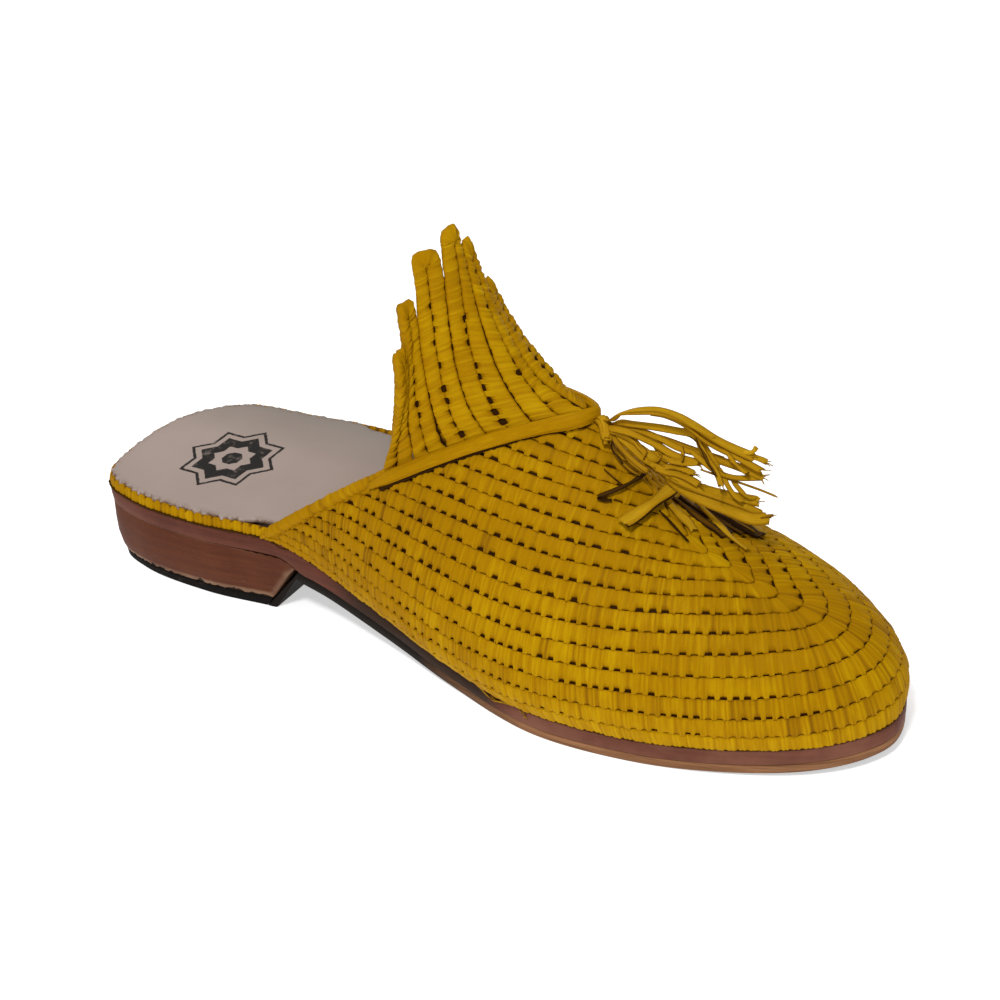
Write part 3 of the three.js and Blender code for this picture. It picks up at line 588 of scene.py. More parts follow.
def where_rows(rows, high, low):
    """Place on the sole line whose rib has this many courses, between two places."""
    for _ in range(40):
        middle = (high + low) / 2
        high, low = (middle, low) if rows_at(middle) > rows else (high, middle)
    return (high + low) / 2


def course_line(row):
    """The line between two courses: its points, and the way round the sole at each of them."""
    along = np.linspace(0, 1, 1400)
    if row > TOE_ROWS:
        inner, outer = where_rows(row, 0.0, 0.42), where_rows(row, 1.0, 0.58)
        along = np.concatenate([np.linspace(0, inner, 700), np.linspace(outer, 1, 700)])
    points = vamp_point(along, np.minimum(row, rows_at(along)))
    walked = walked_along(points)
    even = np.linspace(0, walked[-1], max(int(walked[-1] / 0.4), 60))
    line = read_line(even, walked, points)
    return (smooth_line(line, 4) if walked[-1] > 20 else line), np.interp(even, walked, along)


def straight_across(lower, upper):
    """For each point of the lower line, the point of the upper line that lies straight across."""
    apart = np.linalg.norm(lower[:, None] - upper[None], axis=-1)
    nearest = np.maximum.accumulate(apart.argmin(axis=1)).astype(float)
    nearest[0], nearest[-1] = 0, len(upper) - 1
    reach = 8
    padded = np.concatenate([np.full(reach, nearest[0]), nearest, np.full(reach, nearest[-1])])
    nearest = np.convolve(padded, np.ones(2 * reach + 1) / (2 * reach + 1), "valid")
    return read_line(nearest, np.arange(len(upper)), upper)


# section of a course: place across it from its lower to its upper edge, height over the wall, and tone:
# painted light and shade, paler on the crest, darker at the edges and darkest on the inner side
OUTER_SECTION = [(-1, 0.66, -0.06), (-0.78, 0.88, -0.01), (-0.3, 1.0, 0.03), (0.3, 0.99, 0.03),
                 (0.78, 0.86, -0.01), (1, 0.56, -0.08)]
INNER_SECTION = [(0.7, -0.85, -0.2), (0, -1.0, -0.2), (-0.7, -0.85, -0.2)]
# columns of a stitch: place along it, share of the hole's depth there, its height and its painted shade. A
# stitch has two legs, with a deep groove beside them and a shallow one between them; the grooves are painted
# darker and the legs a little paler.
STITCH_COLUMNS = [(0.0, 1.0, 0.66, -0.22), (0.25, 1.0, 0.95, -0.02), (0.33, 0.1, 1.0, 0.06),
                  (0.5, 0.0, 0.82, -0.16), (0.67, 0.1, 1.0, 0.06), (0.75, 1.0, 0.95, -0.02)]


class RaffiaWork:
    """Collects rolls, sheets and ribbons of raffia in one mesh."""

    def __init__(self):
        self.points, self.faces, self.uv, self.tone = [], [], [], []
        self.count = 0
        self.walked = 0.0

    def add(self, points, faces, uv, tone):
        self.points.append(points.reshape(-1, 3))
        self.faces += [tuple(face) for face in faces]
        self.uv.append(uv)
        self.tone.append(np.broadcast_to(tone, points.shape[:2]).ravel())
        self.count += points.shape[0] * points.shape[1]

    def roll(self, rings, tone, along=None, around=None, shift=(0, 0), wrapped=False):
        """A closed roll through rings of points. Its leaf runs along it, or is wrapped round it."""
        rings = np.asarray(rings, float)
        if along is None:
            along = walked_along(rings.mean(axis=1))
            steps = np.diff(np.concatenate([rings, rings[:, :1]], axis=1), axis=1)
            around = np.concatenate([[0], np.linalg.norm(steps, axis=-1).mean(axis=0).cumsum()])
        here = self.count + np.arange(rings.shape[0] * rings.shape[1]).reshape(rings.shape[:2])
        beside = np.roll(here, -1, axis=1)
        quads = np.stack([here[:-1], here[1:], beside[1:], beside[:-1]], -1).reshape(-1, 4)
        leaf = np.stack(np.meshgrid(around + shift[0], along + shift[1]), -1)
        leaf = leaf[..., ::-1] if wrapped else leaf
        corners = np.stack([leaf[:-1, :-1], leaf[1:, :-1], leaf[1:, 1:], leaf[:-1, 1:]], 2).reshape(-1, 2)
        faces = quads.tolist() + [here[0].tolist(), here[-1, ::-1].tolist()]
        self.add(rings, faces, np.concatenate([corners, leaf[0, :-1], leaf[0, :-1]]), tone)

    def course(self, lower, upper, hole_low, pitch, depth, leg_low=0.0, hole_high=None, rise=0.9, sink=1.45,
               tops=0.0, closed=0.24, rounder=0.0, shade=lambda share: 0 * share):
        """One course of stitches between two lines of matched points. How far open its holes are and
        how dark it is are functions of the share of its length."""
        walked = walked_along((lower + upper) / 2)
        length = walked[-1]
        stitches = max(int(round(length / pitch)), 2)
        edges = np.arange(stitches + 1, dtype=float)
        edges[1:-1] += chance.uniform(-0.12, 0.12, stitches - 1)
        table = np.array(STITCH_COLUMNS)
        stations = (edges[:-1, None] + table[:, 0] * np.diff(edges)[:, None]).ravel()
        stations = np.append(stations, edges[-1]) / stitches * length
        holes, heights, shades = (np.append(np.tile(column, stitches), column[0]) for column in table.T[1:])
        owner = np.append(np.repeat(np.arange(stitches), len(table)), stitches - 1)
        share = stations / length
        low, high = (read_line(stations, walked, line) for line in (lower, upper))
        centre, over = (low + high) / 2, high - low
        out = unit(np.cross(unit(smooth_line(np.gradient(centre, axis=0), 3)), over))

        def hole_sizes(largest):
            # a hole lies between two stitches, so both give it the same size
            sizes = chance.uniform(0.4, largest, stitches + 1) * (chance.random(stitches + 1) > closed)
            return sizes[np.rint(share * stitches).astype(int).clip(0, stitches)]

        # a small hole is narrow, a large one nearly square
        size = hole_sizes(1.25)
        narrow = np.where((shades > -0.1) & (holes > 0.3), 0.25 + 0.75 * size, 0.88).clip(0.3, 0.88)
        open_low = hole_low(share) * size * holes * narrow
        lower_edge = -1 + 2 * (HOLE_RISE * open_low - leg_low * (holes < 0.5))
        upper_edge = np.full_like(share, 1 - 2 * tops)
        if hole_high:
            upper_edge = 1 - 2 * HOLE_RISE * hole_high(share) * hole_sizes(1.3) * holes
        puff = chance.normal(1, 0.07, stitches)[owner]
        lift = chance.normal(0, 0.07, stitches)[owner]
        heights = (1 - (1 - heights) * depth) * chance.normal(1, 0.03, len(heights))
        tone = chance.normal(0, 0.085, stitches)[owner] + chance.normal(0, 0.04) + shade(share)
        section = OUTER_SECTION + INNER_SECTION
        rings = []
        for across, tall, _ in section:
            height = sink * (0.35 + 0.65 * heights) * tall
            if tall > 0:
                tall = tall * (1 - rounder) + rounder * math.sqrt(1 - 0.98 * across**2)
                height = rise * heights * puff * tall + lift
            if tall > 0 and across < -0.7:
                # a leg lies on the course below, and a hole's edge turns inwards
                height = np.where(open_low < 0.1, height, -0.35 if across == -1 else 0.5 * height)
            place = lower_edge + (upper_edge - lower_edge) * (across + 1) / 2
            rings.append(centre + over * (place / 2)[:, None] + out * height[:, None])
        places, _, section_shading = np.transpose(section)
        steps = abs(np.diff(places)) / 2 * np.median(np.linalg.norm(over, axis=1)) + 0.25
        around = np.concatenate([[0], np.append(steps, 1.0).cumsum()]) + self.count * 0.137 % 50
        # painted shade in the grooves beside and between the legs, varied at random, with the section's
        # painted light and shade on top of each stitch's random tone
        streaks = shades * depth * chance.uniform(0.4, 1.2, len(shades)) + chance.normal(0, 0.07, len(shades))
        tones = (tone + streaks)[:, None] + section_shading
        # painted shade round the holes: a roll's lower edge is darker where a hole opens and at the joints
        # between stitches
        tones[:, 0] -= 0.12 * (holes == 1) + 0.35 * np.clip(2 * open_low, 0, 1)
        tones[:, 1] -= 0.12 * np.clip(2 * open_low, 0, 1)
        self.roll(np.stack(rings, 1), tones, self.walked + stations, around, wrapped=True)
        self.walked += length + 13.7

    def sheet(self, grid, sink, thick):
        """A thin sheet inside the wall, near black as painted shade of the shoe's dim inside seen through the
        holes.
        """
        ways_out = unit(np.cross(np.gradient(grid, axis=1), np.gradient(grid, axis=0)))
        outer = self.count + np.arange(grid.shape[0] * grid.shape[1]).reshape(grid.shape[:2])
        inner = outer + outer.size
        edge = np.concatenate([outer[0, :-1], outer[:-1, -1], outer[-1, :0:-1], outer[:0:-1, 0]])
        after = np.roll(edge, -1)
        faces = [np.stack([after, edge, edge + outer.size, after + outer.size], -1)]
        for layer in (outer, inner[:, ::-1]):
            quads = [layer[:-1, :-1], layer[:-1, 1:], layer[1:, 1:], layer[1:, :-1]]
            faces.append(np.stack(quads, -1).reshape(-1, 4))
        faces = np.concatenate(faces)
        points = np.concatenate([grid - ways_out * sink, grid - ways_out * (sink + thick)])
        self.add(points, faces.tolist(), np.zeros((faces.size, 2)), -1.0)

    def seam_cord(self, shares):
        """The dark waxed thread in the crease where a course meets the sole, coloured near black as painted
        shade of the crease as well.
        """
        centre = outline_at(shares, 0.08 + chance.normal(0, 0.05, len(shares)))
        pulled_down = 1.3 * np.exp(-(((centre[:, 0] - 77) / 2.6) ** 2)) * (centre[:, 1] < 0)
        centre[:, 2] = top_at(centre[:, 0]) + 0.28 - pulled_down
        outwards = (outline_at(shares, -1.0) - outline_at(shares, 0.0))[:, None]
        thick = (0.38 + chance.normal(0, 0.05, len(shares)))[:, None, None]
        angle = np.linspace(0, -2 * math.pi, 6, endpoint=False)[:, None]
        spokes = np.cos(angle) * outwards + 0.8 * np.sin(angle) * np.array([0, 0, 1])
        self.roll(centre[:, None] + thick * spokes, -0.95, np.zeros(len(centre)), np.zeros(7))

    def ribbon(self, rings, tone):
        """A flat ribbon from its rings of ten points, with painted shade along its edges."""
        shades = np.full((len(rings), 10), tone) + chance.normal(0, 0.05, 10)
        shades[:, [0, 4, 5, 9]] -= 0.5
        self.roll(rings, shades, shift=(self.count * 0.37 % 40, self.count * 0.11 % 40))

    def piece(self, name, material, replaced=None):
        points, uv, tone = (np.concatenate(parts) for parts in (self.points, self.uv, self.tone))
        mesh_piece(name, points, self.faces, tone, material, replaced, uv)


vamp = RaffiaWork()
lines = [course_line(row) for row in range(ROWS + 1)]
for row, ((lower, along_lower), (upper, _)) in enumerate(zip(lines, lines[1:])):

    def way_round(share):
        return np.interp(share, np.linspace(0, 1, len(along_lower)), along_lower)

    def open_holes(share):
        along = way_round(share)
        near_toe = np.exp(-(((along - 0.5) / 0.1) ** 4))
        waves = 0.25 * np.sin(23 * along + 2.1 * row)
        return np.clip(ROW_OPEN[row] + waves * (row > 1), 0, 2) * (1 - 0.85 * near_toe)

    def painted_shading(share):
        # the lowest and highest courses are painted paler and the toe darker, as painted light and shade; the
        # waist is darker towards the inner corner
        along = way_round(share)
        waist = 0.17 * (1 - ease((along - 0.06) / 0.12))
        toe = 0.12 * np.exp(-(((along - 0.52) / 0.13) ** 4))
        paler = np.interp(row, [0, 4, 8, 11], [0.15, 0.06, 0.03, 0.1])
        return paler - (waist + toe) * np.clip((11 - row) / 4, 0, 1)

    vamp.course(lower, straight_across(lower, upper), open_holes, STITCH_LOW + STITCH_GROWS * row,
                1.25 if row < 7 else 1.1, leg_low=LEG_REACH if row else 0.0, tops=0.03, shade=painted_shading)

# the dark sheet of painted shade behind the holes stops short of the sole, the throat and the crest
sheet_along = np.linspace(0.002, 0.998, 200)
sheet_rows = np.linspace(0.012, 0.985, 24)
grid = [vamp_point(sheet_along, share * rows_at(sheet_along)) for share in sheet_rows]
vamp.sheet(np.stack(grid), 0.3, 0.5)
vamp.seam_cord(np.linspace(inner_corner, outer_corner, 700))
stitch_raffia = raffia_material("raffia_stitches")
vamp.piece("vamp", stitch_raffia, "upper")

# ------------------------------------------------------------------ tongue
# At the throat the courses turn up and stand behind the band. Two neighbouring courses are one
# roll that goes up, turns over in a loop and comes down again, so the tongue ends in seven
# rounded fingers of different heights, parted by short slits.
FINGER_SPLIT = 7
SLIT_SHARE = 0.09
FINGER_ROUND = 3.9
TONGUE_STITCH = 3.3

# first and last course of each finger (below 0 on the inner side of the crest, above 0 on the
# outer side), its tip, how its path leaves the throat, and how it comes to the tip
FINGERS = [
    (-8.5, -7, (130.5, -20.5, 98.2), (2, 0, 14), (0, 0, -12)),
    (-7, -5.45, (129.3, -14.2, 109.9), (-4, 0, 13), (1, -1, -14)),
    (-5.45, -3.85, (132.9, -7.2, 122.7), (-10, 0, 11), (1.5, -1, -18)),
    (-3.85, -2.1, (136.7, 0.6, 127.1), (-14, 0, 8), (1.5, 0, -20)),
    (-2.1, -0.1, (136.7, 6.0, 119.6), (-16, 1, 6), (3, 0, -17)),
    (-0.1, 2.3, (136.8, 12.5, 105.0), (-14, 2, 7), (2.5, 1, -12)),
    (2.3, 5, (137, 19.5, 88.5), (-8, 2, 9), (1.5, 1, -8)),
]


def throat_point(course):
    course = np.asarray(course, float)
    return vamp_point((course > 0).astype(float), ROWS - abs(course))


class FingerPath:
    """The middle line of a finger, from the throat to its tip."""

    def __init__(self, first, last, tip, foot, head):
        self.first, self.last, self.middle = first, last, (first + last) / 2
        start, tip = throat_point(self.middle), np.array(tip, float)
        self.points = bezier(start, start + foot, tip + head, tip, np.linspace(0, 1, 25))
        self.walked = walked_along(self.points)
        self.total = self.walked[-1]

    def at(self, height):
        i = np.clip(np.searchsorted(self.walked, height) - 1, 0, len(self.walked) - 2)
        t = ((height - self.walked[i]) / (self.walked[i + 1] - self.walked[i]))[..., None]
        return self.points[i] * (1 - t) + self.points[i + 1] * t


finger_paths = [FingerPath(*finger) for finger in FINGERS]


def tongue_point(course, height):
    """Points of the tongue: course = place across it, height = way up from the throat."""
    course, height = np.broadcast_arrays(np.asarray(course, float), np.asarray(height, float))
    middles = np.array([path.middle for path in finger_paths])
    at_heights = np.stack([path.at(height) for path in finger_paths])
    result = np.empty(course.shape + (3,))
    for n, (here, up) in enumerate(zip(course, height)):
        inside = min(max(here, middles[0]), middles[-1])
        curves = [through(middles, column) for column in at_heights[:, n].T]
        point = np.array([curve(inside) for curve in curves])
        if here != inside:
            # beyond the middle of the outermost finger the tongue runs straight on
            nudge = 0.5 if here < inside else -0.5
            before = np.array([curve(inside + nudge) for curve in curves])
            point = point + (before - point) * (here - inside) / nudge
        path = next((path for path in finger_paths if here <= path.last), finger_paths[-1])
        own = throat_point(here) + path.at(up) - path.points[0]
        result[n] = own + (point - own) * ease(up / 14)
    return result


def from_tip(share):
    """How far a place on a finger's roll is from its tip: 0 at the tip, 1 at both ends."""
    return abs(2 * share - 1)


tongue = RaffiaWork()
for number, path in enumerate(finger_paths):
    half = (path.last - path.first) / 2
    bend = path.total - FINGER_ROUND
    climb = np.arange(0, bend, 1.2)
    sweep = np.linspace(0, math.pi, 15)
    beside = [finger_paths[n].total if 0 <= n < len(finger_paths) else 0 for n in (number - 1, number + 1)]
    slits = [min(near, path.total) - FINGER_SPLIT for near in beside]
    first_edge, last_edge = (
        tongue_point(path.middle + side * (half - SLIT_SHARE * np.clip((climb - slit) / 6, 0, 1)), climb)
        for side, slit in zip((-1, 1), slits)
    )
    spine = tongue_point(path.middle, climb)
    wide = np.copysign(abs(np.cos(sweep)) ** 0.85, np.cos(sweep))
    # the lower shoulder of a fingertip is drawn up level with the other
    shoulders = tongue_point(path.middle + np.array([-1, 1]) * (half - SLIT_SHARE), bend)[:, 2]
    low_first, low_last = shoulders.max() - shoulders
    drawn_up = low_first * np.clip(wide, 0, 1) + low_last * np.clip(-wide, 0, 1)
    tip = tongue_point(path.middle - wide * (half - SLIT_SHARE),
                       bend + drawn_up + FINGER_ROUND * abs(np.sin(sweep)) ** 0.65)
    pivot = np.repeat(tongue_point([path.middle], [bend - 1.0]), len(sweep), axis=0)
    # the tongue's courses are painted paler as painted light, a little less towards each fingertip
    tongue.course(
        np.concatenate([spine, pivot, spine[::-1]]),
        np.concatenate([first_edge, tip, last_edge[::-1]]),
        lambda share: 0.85 * np.clip(1.3 * from_tip(share), 0, 1) * (from_tip(share) > 0.1),
        TONGUE_STITCH,
        1.1,
        leg_low=0.03,
        hole_high=lambda share: 0.5 * (0.35 + 0.65 * from_tip(share)) * (from_tip(share) > 0.08),
        rise=1.65,
        closed=0.46,
        rounder=0.32,
        shade=lambda share: 0.15 - 0.1 * np.exp(-(((share - 0.5) / 0.12) ** 2)),
    )
    # the dark sheet of painted shade inside this finger
    inside_up = np.linspace(0, bend, 40)
    reaches = [np.where(inside_up < slit - 2, half + 0.02, 0.75 * half) for slit in slits]
    grid = [tongue_point(path.middle + a * reaches[int(a > 0)], inside_up) for a in np.linspace(-1, 1, 9)]
    tongue.sheet(np.stack(grid, axis=1), -0.2, 0.4)
tongue.piece("tongue", stitch_raffia)

# ------------------------------------------------------------------ throat band and trim
# A flat braid of smooth raffia is sewn over the line where the tongue stands up. Towards the
# sole's corners it runs on as a thin wrapped cord that covers the raw edge of the vamp.
BAND_WIDTH = 3.8
BAND_HEIGHT = 2.4
BAND_FORWARD = 1.2
BAND_FIRST = 9.0
BAND_LAST = 17.65
ROW_RISE = 0.95
TRIM_STITCH = 2.6
TRIM_TALL = 2.05
TRIM_WIDE = 1.8


def throat_frame(side, row):
    """On the throat line: its point, the way out of the wall, and the way from vamp to tongue."""
    end, into = (0.0, 0.02) if side < 0 else (1.0, 0.98)
    point = vamp_point(end, row)
    step = 0.25 if row < ROWS - 0.3 else -0.25
    up = unit((vamp_point(end, row + step) - point) * math.copysign(1, step))
    forward = vamp_point(into, min(row, float(rows_at(into)))) - point
    out = unit(np.cross(forward, up) * -side)
    return point, out, unit(np.cross(out, up) * -side), row


band_rows = np.linspace(BAND_FIRST, BAND_LAST, 60)
inner_half, outer_half = ([throat_frame(side, row) for row in band_rows] for side in (-1, 1))
on_crest = [unit(inner_half[-1][k] + outer_half[-1][k]) for k in (1, 2)]
stations = [*inner_half, (crest_curve(0.0), *on_crest, ROWS), *reversed(outer_half)]
band_rings, band_shadow_rings = [], []
around = np.linspace(0, 2 * math.pi, 40, endpoint=False)
round_thread = np.linspace(0, 2 * math.pi, 8, endpoint=False)
for (point, out, away, row), walked in zip(stations, walked_along([station[0] for station in stations])):
    grown = 0.55 + 0.45 * ease((row - BAND_FIRST) / 1.2)
    swell = 1 + 0.18 * np.exp(-(((row - 17.2) / 0.7) ** 2))
    centre = point + out * (ROW_RISE + BAND_HEIGHT / 2 * grown + 0.1) - away * BAND_FORWARD
    strands = 1 + 0.055 * np.cos(7 * around + 0.16 * walked) + 0.02 * np.cos(13 * around - 0.3 * walked)
    tall = BAND_HEIGHT / 2 * grown * swell * strands * np.sin(around)
    wide = BAND_WIDTH / 2 * grown * swell * strands * np.cos(around)
    band_rings.append(centre + np.outer(tall, out) + np.outer(wide, away))
    if row > BAND_FIRST + 0.4:
        # a near-black roll along the band's lower edge: painted shadow that the band casts
        low_edge = point + out * (ROW_RISE + 0.1) - away * (BAND_FORWARD + BAND_WIDTH / 2 - 0.05)
        low_edge = low_edge + away * chance.normal(0, 0.12)
        thick = 0.5 + 0.25 * chance.random()
        tall, wide = np.sin(round_thread) * 0.65, np.cos(round_thread) * thick
        band_shadow_rings.append(low_edge + np.outer(tall, out) + np.outer(wide, away))
band = RaffiaWork()
band.roll(band_rings, -0.04)
band.roll(band_shadow_rings, -1.0)
band_raffia = raffia_material("raffia_band", vein_scale=1.6, relief=0.6, rough=0.42)
band.piece("throat_band_braid", band_raffia, "throat_band")

# the edge from each corner up to the band is overcast with slanting stitches
edge_trim = RaffiaWork()
around = np.linspace(0, 2 * math.pi, 24, endpoint=False)
for side in (-1, 1):
    frames = [throat_frame(side, row) for row in np.linspace(0.05, BAND_FIRST + 0.9, 260)]
    middle = smooth_line(np.array([point + away * 0.5 + out * 0.35 for point, out, away, _ in frames]), 6)
    loose = chance.normal(0, 0.06, 80)
    rings, tones = [], []
    for (_, out, away, _), centre, walked in zip(frames, middle, walked_along(middle)):
        slant = (walked / TRIM_STITCH + side * 0.55 * around / math.pi) % 1
        stitch = loose[int(walked / TRIM_STITCH)]
        puff = (0.9 + 0.14 * np.sin(math.pi * slant) ** 0.55 + stitch) * (0.35 + 0.65 * ease(walked / 7))
        tall, wide = np.sin(around) * TRIM_TALL * puff, np.cos(around) * TRIM_WIDE * puff
        rings.append(centre + np.outer(tall, out) + np.outer(wide, away))
        # painted shade between the slanting wraps, and a random tone per stitch
        tones.append(-0.3 * (1 - np.sin(math.pi * slant) ** 0.4) + stitch * 2)
    edge_trim.roll(rings, np.array(tones), wrapped=True)
edge_trim.piece("edge_trim", stitch_raffia)

# ------------------------------------------------------------------ tassel
# A bunch of flat raffia ribbons is pulled through the vamp under the band and knotted there. The
# ribbons arch forward, cross one another and end torn, some of them split into hairs.
TASSEL_ROOT = crest_curve(0.075) + np.array([1.0, 0, 2.2])
chance = np.random.default_rng(19)

# ribbons that leave the knot: the points they pass, width, turn at both ends, and tone
FROM_KNOT = [
    ([(180, 0.5, 76), (184.5, -1.5, 81), (190.5, -2.5, 84.3), (198, 1, 84), (203.5, 4, 80.5),
      (211, 7.5, 74), (218, 11.5, 69)],
     1.9, (0.2, -0.8), 0.1),
    ([(180, 1, 75.5), (184, 0, 78), (189, -0.5, 79), (197.5, 4.5, 76.5), (203.5, 7.5, 74),
      (205.5, 7, 71.5), (208, 6.5, 69),
      (210, 6, 66.5)], 1.5, (-0.3, -1.4), 0.0),
    ([(179.5, 1, 75), (185, 0.5, 77), (190.5, 0.5, 76.5), (199.5, 4.5, 72), (205, 6.5, 69.5),
      (213, 9.5, 66.5), (220, 11.5, 63.5)],
     1.6, (-0.6, -0.7), 0.1),
    ([(181, 0, 76), (186, -1, 77.5), (189, 0.5, 76), (191.5, 2, 74), (194, 2, 72), (195.5, 1, 70),
      (195, -1, 68.5)],
     1.3, (-0.7, 0.0), 0.0),
    ([(181, -0.5, 75.5), (185.5, -1.5, 76), (188.5, -1, 74.5), (191, -1, 72.5), (192.5, -1, 70.5),
      (192.5, -2.5, 69)],
     1.4, (-0.5, -1.5), -0.1),
    ([(181, 0.5, 75), (184.5, -1, 74.5), (188.5, -1.5, 72.5), (192.5, -2, 70), (196, -1, 67.5),
      (199, -0.5, 65.5)],
     1.5, (-0.8, -0.4), 0.05),
    ([(181, 0, 75), (184, -2, 73.5), (188, -3.5, 71.5), (191.5, -4, 69.5),
      (194.5, -4, 68)], 1.1, (-0.6, -0.8), -0.2),
    ([(181.5, -0.5, 76), (187, -2, 77.5), (191.5, -0.5, 75.5), (195.5, 1.5, 72.5), (199.5, 2.5, 70),
      (205.5, 5, 68)],
     1.5, (-0.7, -1.2), 0.1),
    ([(181, 0, 76), (187, -1, 78), (192, 0.5, 76.5), (196.5, 2.5, 74), (200.5, 4, 71.5),
      (206, 7, 69.5)], 1.3, (-0.2, -0.8), -0.05),
    ([(180.5, 0, 73), (183, -1.5, 70), (185.5, -2, 68.5), (188, 1, 66),
      (189, 2.5, 64)], 0.8, (-0.7, -0.7), -0.3),
    ([(180.5, 0, 73), (183, -2, 70.5), (186, -3, 68), (189, -3, 66),
      (191, -2.5, 65)], 0.7, (-0.8, -0.5), -0.4),
]
# ribbons that start further on in the bunch and cross the others
CROSSING = [
    ([(195, -1, 84), (199.5, 2.5, 82), (204, 4.5, 78), (208, 6, 74), (213, 8, 71), (217.5, 10, 67.5),
      (220.5, 10.5, 66)],
     1.4, (-0.6, -0.7), -0.05),
    ([(215, 9.8, 71), (217.6, 11, 71), (218.5, 11.8, 72.6)], 1.0, (-0.7, -0.4), 0.1),
    ([(215, 9.8, 70.8), (219, 12.2, 68.5), (220.5, 13.5, 67)], 1.2, (-0.7, -0.8), 0.1),
    ([(202.5, 5, 71), (206.5, 4.5, 69), (210, 5, 66.5), (214, 7, 64.5),
      (219.5, 12, 63)], 1.2, (-0.7, -0.6), 0.0),
    ([(190, 0, 72), (194, -0.5, 70), (197, 0.5, 67), (201.5, 0.5, 64.5), (206, 2.5, 62),
      (210.5, 4.5, 60), (219.5, 9.5, 57)],
     2.1, (-0.6, -0.8), 0.1),
    ([(194, -0.5, 69), (198.5, -0.5, 66), (203, 0.5, 63.5), (207.5, 2.5, 61), (216.5, 6, 57),
      (222, 7.5, 54.5)],
     1.6, (-0.8, -0.5), -0.05),
    ([(196, 0.5, 66), (201, 1, 62), (206.5, 1.5, 59.5), (216.5, 3.5, 56), (221, 5, 54.5),
      (223.3, 7.5, 54)], 2.5, (-0.8, -0.6), 0.1),
    ([(206, 3.5, 67), (211, 6, 64.5), (219, 10, 60.5), (223.7, 12, 58)], 0.45, (-0.7, -0.7), -0.2),
    ([(203.5, 7, 75), (205, 6, 72.5), (208, 4.5, 70), (211, 3.5, 67),
      (213, 2, 64)], 1.2, (-0.5, 0.0), -0.1),
    ([(208.5, 7, 67), (211, 6, 65.5), (213, 5, 63), (215.5, 4.5, 60.5),
      (217.5, 5, 59)], 1.0, (-0.6, -0.1), 0.05),
    ([(212, 7.5, 71.5), (214, 7, 69.5), (215.5, 7.5, 67.5), (217.5, 8, 66)], 0.9, (-0.6, -0.6), -0.1),
    ([(213, 7.5, 63), (215.5, 7, 61), (217.5, 7.5, 59), (218.5, 9.5, 58)], 1.0, (-0.7, -0.3), 0.0),
    ([(200.3, 4.5, 72), (201.3, 3, 70.5), (201.5, 2, 69)], 0.8, (-0.6, -0.6), -0.2),
    ([(192.5, 0, 71), (195.5, 1, 70), (199.5, 1.5, 69), (202.5, 3, 68.5),
      (205, 4.5, 68.5)], 1.5, (-0.7, -0.4), -0.1),
    ([(195.5, -2, 67.5), (198.5, 0, 68), (201, 2, 67), (204.5, 3, 65.5)], 1.4, (-0.4, -0.8), -0.15),
    ([(194.5, -2.5, 69.5), (197.5, -1.5, 67.5), (200.5, 0.5, 66), (204, 1.5, 64.5),
      (206.5, 2, 63)], 1.6, (-0.8, -0.5), 0.0),
]
# ribbons that lie on the vamp; the darkest ones are near-black strands under the bunch, laid there as painted
# shadow of the tassel
ON_VAMP_AND_SHADOW = [
    ([(199, 5, 61.7), (197.5, -2, 60.3), (195.3, -9, 59.3), (192.8, -15.7, 58.2)], 2.9, (0.05, 0.1), 0.15),
    ([(198.6, 4, 61), (197.2, -3, 59.6), (195, -9.5, 58.6), (192.8, -15, 57.8)], 3.1, (0.05, 0.1), -0.85),
    ([(190.6, 0.5, 63.5), (189.9, -5, 63.9), (187.3, -9.3, 63.3),
      (183.8, -12.9, 62.3)], 1.0, (0.2, 0.2), -0.95),
    ([(183.8, -12.9, 61.8), (185.8, -12, 61.4), (187.3, -11, 61.2)], 1.1, (0.1, 0.1), -1.0),
    ([(197.9, -5.4, 57.4), (200.7, -5.8, 55.6), (204, -6.6, 53.6),
      (207.4, -7.5, 51.6)], 0.5, (0.1, 0.2), -0.95),
    ([(182.5, -6.5, 67), (185.2, -6.6, 65.3), (188.1, -6.5, 63.3)], 0.35, (0.1, 0.2), -0.7),
    ([(198.5, -1, 57), (201.5, -1.5, 55), (204.8, -2, 53), (206.8, -3, 51.6)], 2.0, (0, 0.1), 0.12),
    ([(201.4, 7, 54), (206.4, 6, 51), (211.2, 4.5, 49), (214.9, 2.8, 47.9),
      (220.1, 2, 46.1)], 1.3, (0.1, 0.5), 0.1),
    ([(196.6, 3.6, 55.7), (200.4, 4.2, 53), (204.8, 3.8, 50.8), (208.8, 3.6, 49.1),
      (213, 2.4, 47.8)], 1.7, (0, 0.1), -1.0),
    ([(196.5, 6.9, 54), (199.8, 7.6, 51.5), (203.6, 7.7, 49.6), (207.5, 7.2, 48.1),
      (212.5, 5.4, 47.2)], 1.9, (0, -0.1), -0.95),
    ([(198.3, 13.2, 49), (203.1, 12.5, 47.4), (207.7, 12.3, 45.9), (212.7, 12, 44.7),
      (217.5, 11.9, 43.3)], 1.6, (0, 0.2), -1.0),
    ([(197.3, 19.4, 45), (202.9, 18.2, 44.1), (207.2, 17.6, 43.1), (212.8, 15.8, 42.5),
      (217.4, 13.6, 42.5)], 1.7, (0, 0), -0.9),
    ([(195.1, 16.8, 47), (200, 16.4, 45.7), (204.8, 15.6, 44.7), (210.2, 14.3, 43.8),
      (216.9, 15.4, 41.8)], 1.4, (0, -0.2), -1.0),
    ([(199, 10.5, 50.2), (204, 10.2, 48), (209, 9.6, 46.6), (214, 9.4, 45.1)], 1.3, (0.1, 0), -0.8),
    ([(197, 15.4, 48.3), (203, 14.8, 46.6), (209, 13.9, 45.4), (215.5, 13.2, 43.8)], 0.5, (0.2, 0), -0.25),
    ([(198, 6, 54.3), (202.5, 6.6, 51.6), (207, 6.2, 49.8), (211, 5.3, 48.6)], 0.5, (0.2, 0), -0.35),
]


